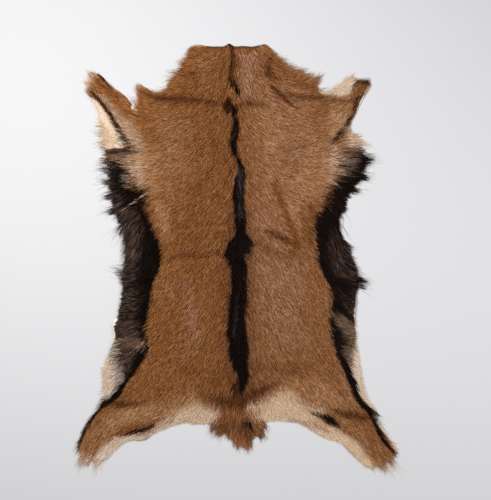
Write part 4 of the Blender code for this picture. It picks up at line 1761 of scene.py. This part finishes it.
# Gathered locks: where the long hair at the rim lies together in points. x and
# y are a lock's middle at the skin, spread is how far round it hair is gathered.
Lock = namedtuple("Lock", "x y tip_x tip_y spread")
LOCKS = [
    Lock(158, 376, 184, 400, 10),
    Lock(168, 386, 192, 404, 6),
    Lock(-206, 362, -228, 382, 10),
    Lock(212, 370, 222, 388, 5),
    Lock(226, 378, 240, 400, 6),
    Lock(242, 388, 256, 406, 5),
    Lock(-296, 288, -320, 284, 5),
    Lock(-296, 266, -326, 262, 6),
    Lock(-294, 246, -322, 238, 6),
    Lock(-290, 230, -316, 226, 5),
    Lock(-312, 392, -336, 406, 8),
    Lock(-322, 374, -340, 384, 7),
    Lock(258, 254, 300, 243, 6),
    Lock(264, 216, 298, 212, 6),
    Lock(260, 180, 280, 162, 8),
    Lock(242, 150, 263, 143, 7),
    Lock(238, 34, 262, 26, 6),
    Lock(248, -46, 288, -56, 8),
    Lock(254, -60, 280, -68, 5),
    Lock(-276, 212, -304, 206, 5),
    Lock(-274, 192, -304, 184, 5),
    Lock(-270, 166, -298, 156, 5),
    Lock(-266, 140, -292, 124, 6),
    Lock(-258, 110, -280, 92, 6),
    Lock(-246, 72, -264, 48, 6),
    Lock(-250, -38, -268, -32, 6),
    Lock(-336, -434, -350, -464, 7),
    Lock(-322, -436, -330, -468, 6),
    Lock(-304, -442, -312, -466, 6),
    Lock(290, -334, 318, -350, 7),
    Lock(290, -346, 312, -360, 5),
    Lock(332, -442, 346, -462, 7),
    Lock(314, -450, 322, -472, 6),
    Lock(286, -448, 292, -470, 6),
    Lock(0, -395, 2, -416, 9),
    Lock(20, -398, 24, -424, 9),
    Lock(-34, -378, -38, -398, 8),
    Lock(46, -380, 50, -400, 8),
    Lock(-50, -368, -52, -388, 7),
    Lock(58, -366, 64, -378, 6),
]

# Stray whiskers: where single hairs stand out much further, by more millimetres.
Stray = namedtuple("Stray", "x y more spread")
STRAYS = [
    Stray(-134, 412, 34, 20),
    Stray(-116, 440, 16, 16),
    Stray(100, 432, 14, 20),
    Stray(128, 414, 20, 20),
    Stray(164, 394, 24, 14),
    Stray(-300, 250, 14, 30),
    Stray(-290, 190, 8, 40),
    Stray(272, 224, 5, 20),
    Stray(-238, 26, 12, 20),
    Stray(-238, -8, 14, 16),
    Stray(-240, 60, 8, 16),
    Stray(-340, -420, 10, 40),
    Stray(-308, -318, 12, 16),
    Stray(308, -342, 14, 16),
    Stray(-336, -450, 8, 20),
    Stray(330, -430, 10, 40),
]

# How a piece of coat grows. pitch is between hairs and width is a hair's own,
# height is a share of the pile's, pull is how closely a tuft's hairs end
# together, sway is in degrees, reach and spare are how far tufts and single hairs
# may pass the fringe, and clear is how much light shows through a hair.
Growth = namedtuple(
    "Growth",
    "pitch width rings height tuft_pitch pull sway length_share reach spare clear",
)
CLEAR_HAIR = srgb(200, 182, 164)  # what a fine hair shows of the light behind it
LEAST_LONG, MOST_LONG = 0.75, 1.2  # spread of the lengths of hairs and tufts
LOCK_PULL = 0.8  # how closely a gathered lock's hairs end together
OWN_CHANCE, TUFT_CHANCE = 0.75, 0.25  # how far a hair takes colours alone or with its tuft


def stray_growth(roots, draw):
    """How much further each hair grows where stray whiskers stand out."""
    found = np.zeros(len(roots))
    for stray in STRAYS:
        gap = np.hypot(*(roots - drawn((stray.x, stray.y))).T)
        more = stray.more * np.exp(-((gap / stray.spread) ** 2))
        found = np.maximum(found, more * draw.uniform(size=len(roots)))
    return found


def pulled_together(roots, tips, tuft_tips, pull):
    """The way from each hair's tip to where its tuft and the locks end, and the locks' hold on it."""
    pulls = (tuft_tips - tips) * pull
    held = np.zeros(len(roots))
    for lock in LOCKS:
        foot, point = drawn((lock.x, lock.y)), drawn((lock.tip_x, lock.tip_y))
        gathered = np.exp(-(((roots - foot) ** 2).sum(1)) / lock.spread**2)
        pulls += gathered[:, None] * (point - tips - pulls) * LOCK_PULL
        held = np.maximum(held, gathered)
    return pulls, held


def share_kept(roots, ends, room, held):
    """How much of each hair is left once those that reach too far past the rim are cut back."""
    outer = -rim_gap.at(ends)
    inner = np.clip(rim_gap.at(roots), 0.5, None)
    shorter = np.clip((inner + room) / (inner + np.maximum(outer, room)), 0.15, 1)
    return np.where((outer > room) & (held < 0.3), shorter, 1.0)


def grow(name, growth, wanted, seed):
    """Grows one piece of the coat: rooted where wanted says so, combed, tufted and cut to the fringe."""
    draw = np.random.default_rng(seed)
    low, high = rim.min(0), rim.max(0)
    roots = even_grid(growth.pitch, low, high, draw)
    edge = rim_gap.at(roots) - fringe_near.at(roots) * TUCK_SHARE - bare_near.at(roots)
    roots = roots[(edge > 0.5) & (wanted(roots) > draw.uniform(size=len(roots)))]
    tufts = even_grid(growth.tuft_pitch, low - 10, high + 10, draw)
    tuft_turn = np.radians(draw.normal(0, growth.sway * 0.7, len(tufts)))
    tuft_long = draw.uniform(LEAST_LONG, MOST_LONG, len(tufts))
    tuft_tone = draw.uniform(size=len(tufts))
    tuft_reach = growth.reach * draw.uniform(size=len(tufts)) ** 3.5
    own_tuft = nearest_tuft(roots, tufts, growth.tuft_pitch)
    count = len(roots)
    turns = np.radians(draw.normal(0, growth.sway, count)) + tuft_turn[own_tuft]
    curls = np.radians(draw.normal(0, growth.sway * 0.8, count))
    lengths = comb.at(roots)[:, 2] * growth.length_share
    lengths = lengths * draw.uniform(LEAST_LONG, MOST_LONG, count) * tuft_long[own_tuft]
    strays = stray_growth(roots, draw) if growth.clear else np.zeros(count)
    lengths += strays
    still = np.zeros((count, 2))
    tip = hair_paths(roots, turns, lengths, curls, still, lengths, growth.rings)[:, -1, :2]
    tuft_lengths = comb.at(tufts)[:, 2] * growth.length_share * tuft_long
    tuft_still = np.zeros((len(tufts), 2))
    tuft_paths = hair_paths(
        tufts, tuft_turn, tuft_lengths, tuft_turn * 0.5, tuft_still, tuft_lengths, growth.rings
    )
    tuft_tip = tuft_paths[:, -1, :2]
    pulls, held = pulled_together(roots, tip, tuft_tip[own_tuft], growth.pull)
    end = tip + pulls
    fringe = fringe_near.at(end)
    room = fringe * tuft_reach[own_tuft] * draw.uniform(0.8, 1.15, count)
    room += growth.spare * np.clip(fringe / 5.0, 0, 1) - bare_near.at(end) * 0.6 + 0.5
    room += strays
    kept = share_kept(roots, end, room, held)
    lengths, pulls = lengths * kept, pulls * kept[:, None]
    pile = np.clip(upper.at(roots) - skin_top.at(roots), 1.2, None)
    heights = pile * growth.height * draw.uniform(0.55, 1.1, count)
    paths = hair_paths(roots, turns, lengths, curls, pulls, heights, growth.rings)
    root, end = paths[:, 0, :2], paths[:, -1, :2]
    shown = root + (end - root) * draw.uniform(0.15, 0.85, count)[:, None]
    chances = draw.uniform(size=count) * OWN_CHANCE + tuft_tone[own_tuft] * TUFT_CHANCE
    clear = growth.clear * np.clip(0.5 - rim_gap.at(shown) / 6, 0, 1)[:, None]
    colours = coat_colour(shown, chances) * (1 - clear) + np.array(CLEAR_HAIR) * clear
    widths = growth.width * draw.uniform(0.75, 1.25, count)
    tones = np.column_stack([draw.uniform(size=count), (tuft_tone * 7.3 % 1)[own_tuft]])
    return hair_mesh(name, paths, widths, colours, tones)


LONG_FROM, LONG_BLEND = 22.5, 5.0  # hair counts as long from this length on


def long_hair(spots):
    """1 where the hair is long: on the flanks, down the spine, at the legs' ends and on the tail."""
    return np.clip((comb.at(spots)[:, 2] - LONG_FROM) / LONG_BLEND, 0, 1)


# The body's coat: short lying hair in small pointed locks, in lengths of the
# hide from neck to rump.
COAT = Growth(
    pitch=1.8,
    width=1.15,
    rings=1,
    height=0.9,
    tuft_pitch=2.9,
    pull=0.7,
    sway=12.0,
    length_share=0.72,
    reach=1.4,
    spare=1.0,
    clear=0.0,
)
COAT_SEED = 20
COAT_BANDS = {
    "neck_coat": (310.0, 500.0),
    "shoulder_coat": (180.0, 310.0),
    "back_coat": (40.0, 180.0),
    "waist_coat": (-100.0, 40.0),
    "loin_coat": (-240.0, -100.0),
    "rump_coat": (-500.0, -240.0),
}
for number, (name, (low_y, high_y)) in enumerate(COAT_BANDS.items()):
    def in_band(spots, low_y=low_y, high_y=high_y):
        y = spots[:, 1] - DRAWN_TO_FRAME[1]
        return ((y >= low_y) & (y < high_y)) * (1 - 0.7 * long_hair(spots))

    grow(name, COAT, in_band, COAT_SEED + number)

# Long hair: black locks on the flanks, the crest down the spine, and the tufts
# that close the legs and the tail.
LONG = Growth(
    pitch=1.9,
    width=0.85,
    rings=2,
    height=1.0,
    tuft_pitch=6.5,
    pull=0.65,
    sway=9.0,
    length_share=1.0,
    reach=0.9,
    spare=0.5,
    clear=0.0,
)
MIDDLE = 60  # half the width between the flanks' long hair
TAIL_HALF = 62
CREST_END, TAIL_START = -340, -345
CREST_SOFT = 8.0


def left_long(spots):
    return long_hair(spots) * (spots[:, 0] < -MIDDLE)


def right_long(spots):
    return long_hair(spots) * (spots[:, 0] > MIDDLE)


def crest(spots):
    middle = (np.abs(spots[:, 0]) <= MIDDLE) & (spots[:, 1] > CREST_END)
    return middle * stripe_mask(spots, CREST_SOFT)


def tail_hair(spots):
    return (np.abs(spots[:, 0]) <= TAIL_HALF) & (spots[:, 1] < TAIL_START)


grow("left_long_hair", LONG, left_long, 31)
grow("right_long_hair", LONG, right_long, 32)
grow("crest_hair", LONG._replace(length_share=1.1, tuft_pitch=4.0), crest, 33)
grow("tail_hair", LONG, tail_hair, 34)

# Whiskers: single fine hairs that stand out past the locks at the rim.
WHISKERS = Growth(
    pitch=1.5,
    width=0.34,
    rings=2,
    height=0.8,
    tuft_pitch=9.0,
    pull=0.2,
    sway=14.0,
    length_share=1.8,
    reach=1.5,
    spare=2.0,
    clear=0.45,
)
WHISKER_BAND = 10  # how far in from the skin's edge they grow


def near_rim(spots):
    fringe = fringe_near.at(spots)
    inwards = rim_gap.at(spots) - fringe * TUCK_SHARE
    return np.clip(1 - inwards / WHISKER_BAND, 0, 1) * np.clip(fringe / 3, 0, 1)


grow("fringe_hair", WHISKERS, near_rim, 41)

# The floor is a plain pale sheet of paper, lit softly from the upper left.
FLOOR_SIZE = 12.0
bpy.ops.object.select_all(action="DESELECT")
bpy.ops.mesh.primitive_plane_add(size=FLOOR_SIZE, location=(0.0, 0.0, 0.0))
floor = bpy.context.active_object
floor.name = "floor"
paper = Finish("pale_paper", 0.9, specular=0.2)
floor.data.materials.append(paper.wear(srgb(202, 202, 203)))


def soft_box(name, place, size, power, colour):
    """A round soft light at a place, turned to the hide's middle."""
    light = bpy.data.lights.new(name, "AREA")
    light.shape, light.size, light.energy, light.color = "DISK", size, power, colour
    lamp = bpy.data.objects.new(name, light)
    lamp.location = place
    lamp.rotation_euler = (-Vector(place)).to_track_quat("-Z", "Y").to_euler()
    bpy.context.scene.collection.objects.link(lamp)


soft_box("window_light", (-0.72, 0.54, 1.56), size=0.6, power=32.2, colour=(1.0, 0.99, 0.98))
soft_box("fill_light", (1.17, -0.19, 1.2), size=0.8, power=11.5, colour=(0.99, 0.99, 1.0))
ROOM_COLOUR = (0.97, 0.98, 1.04, 1.0)
ROOM_STRENGTH = 0.265
world = bpy.data.worlds.new("studio")
world.use_nodes = True
room = world.node_tree.nodes["Background"]
room.inputs["Color"].default_value = ROOM_COLOUR
room.inputs["Strength"].default_value = ROOM_STRENGTH
bpy.context.scene.world = world
bpy.context.scene.view_settings.view_transform = "Standard"
bpy.context.scene.cycles.use_denoising = False
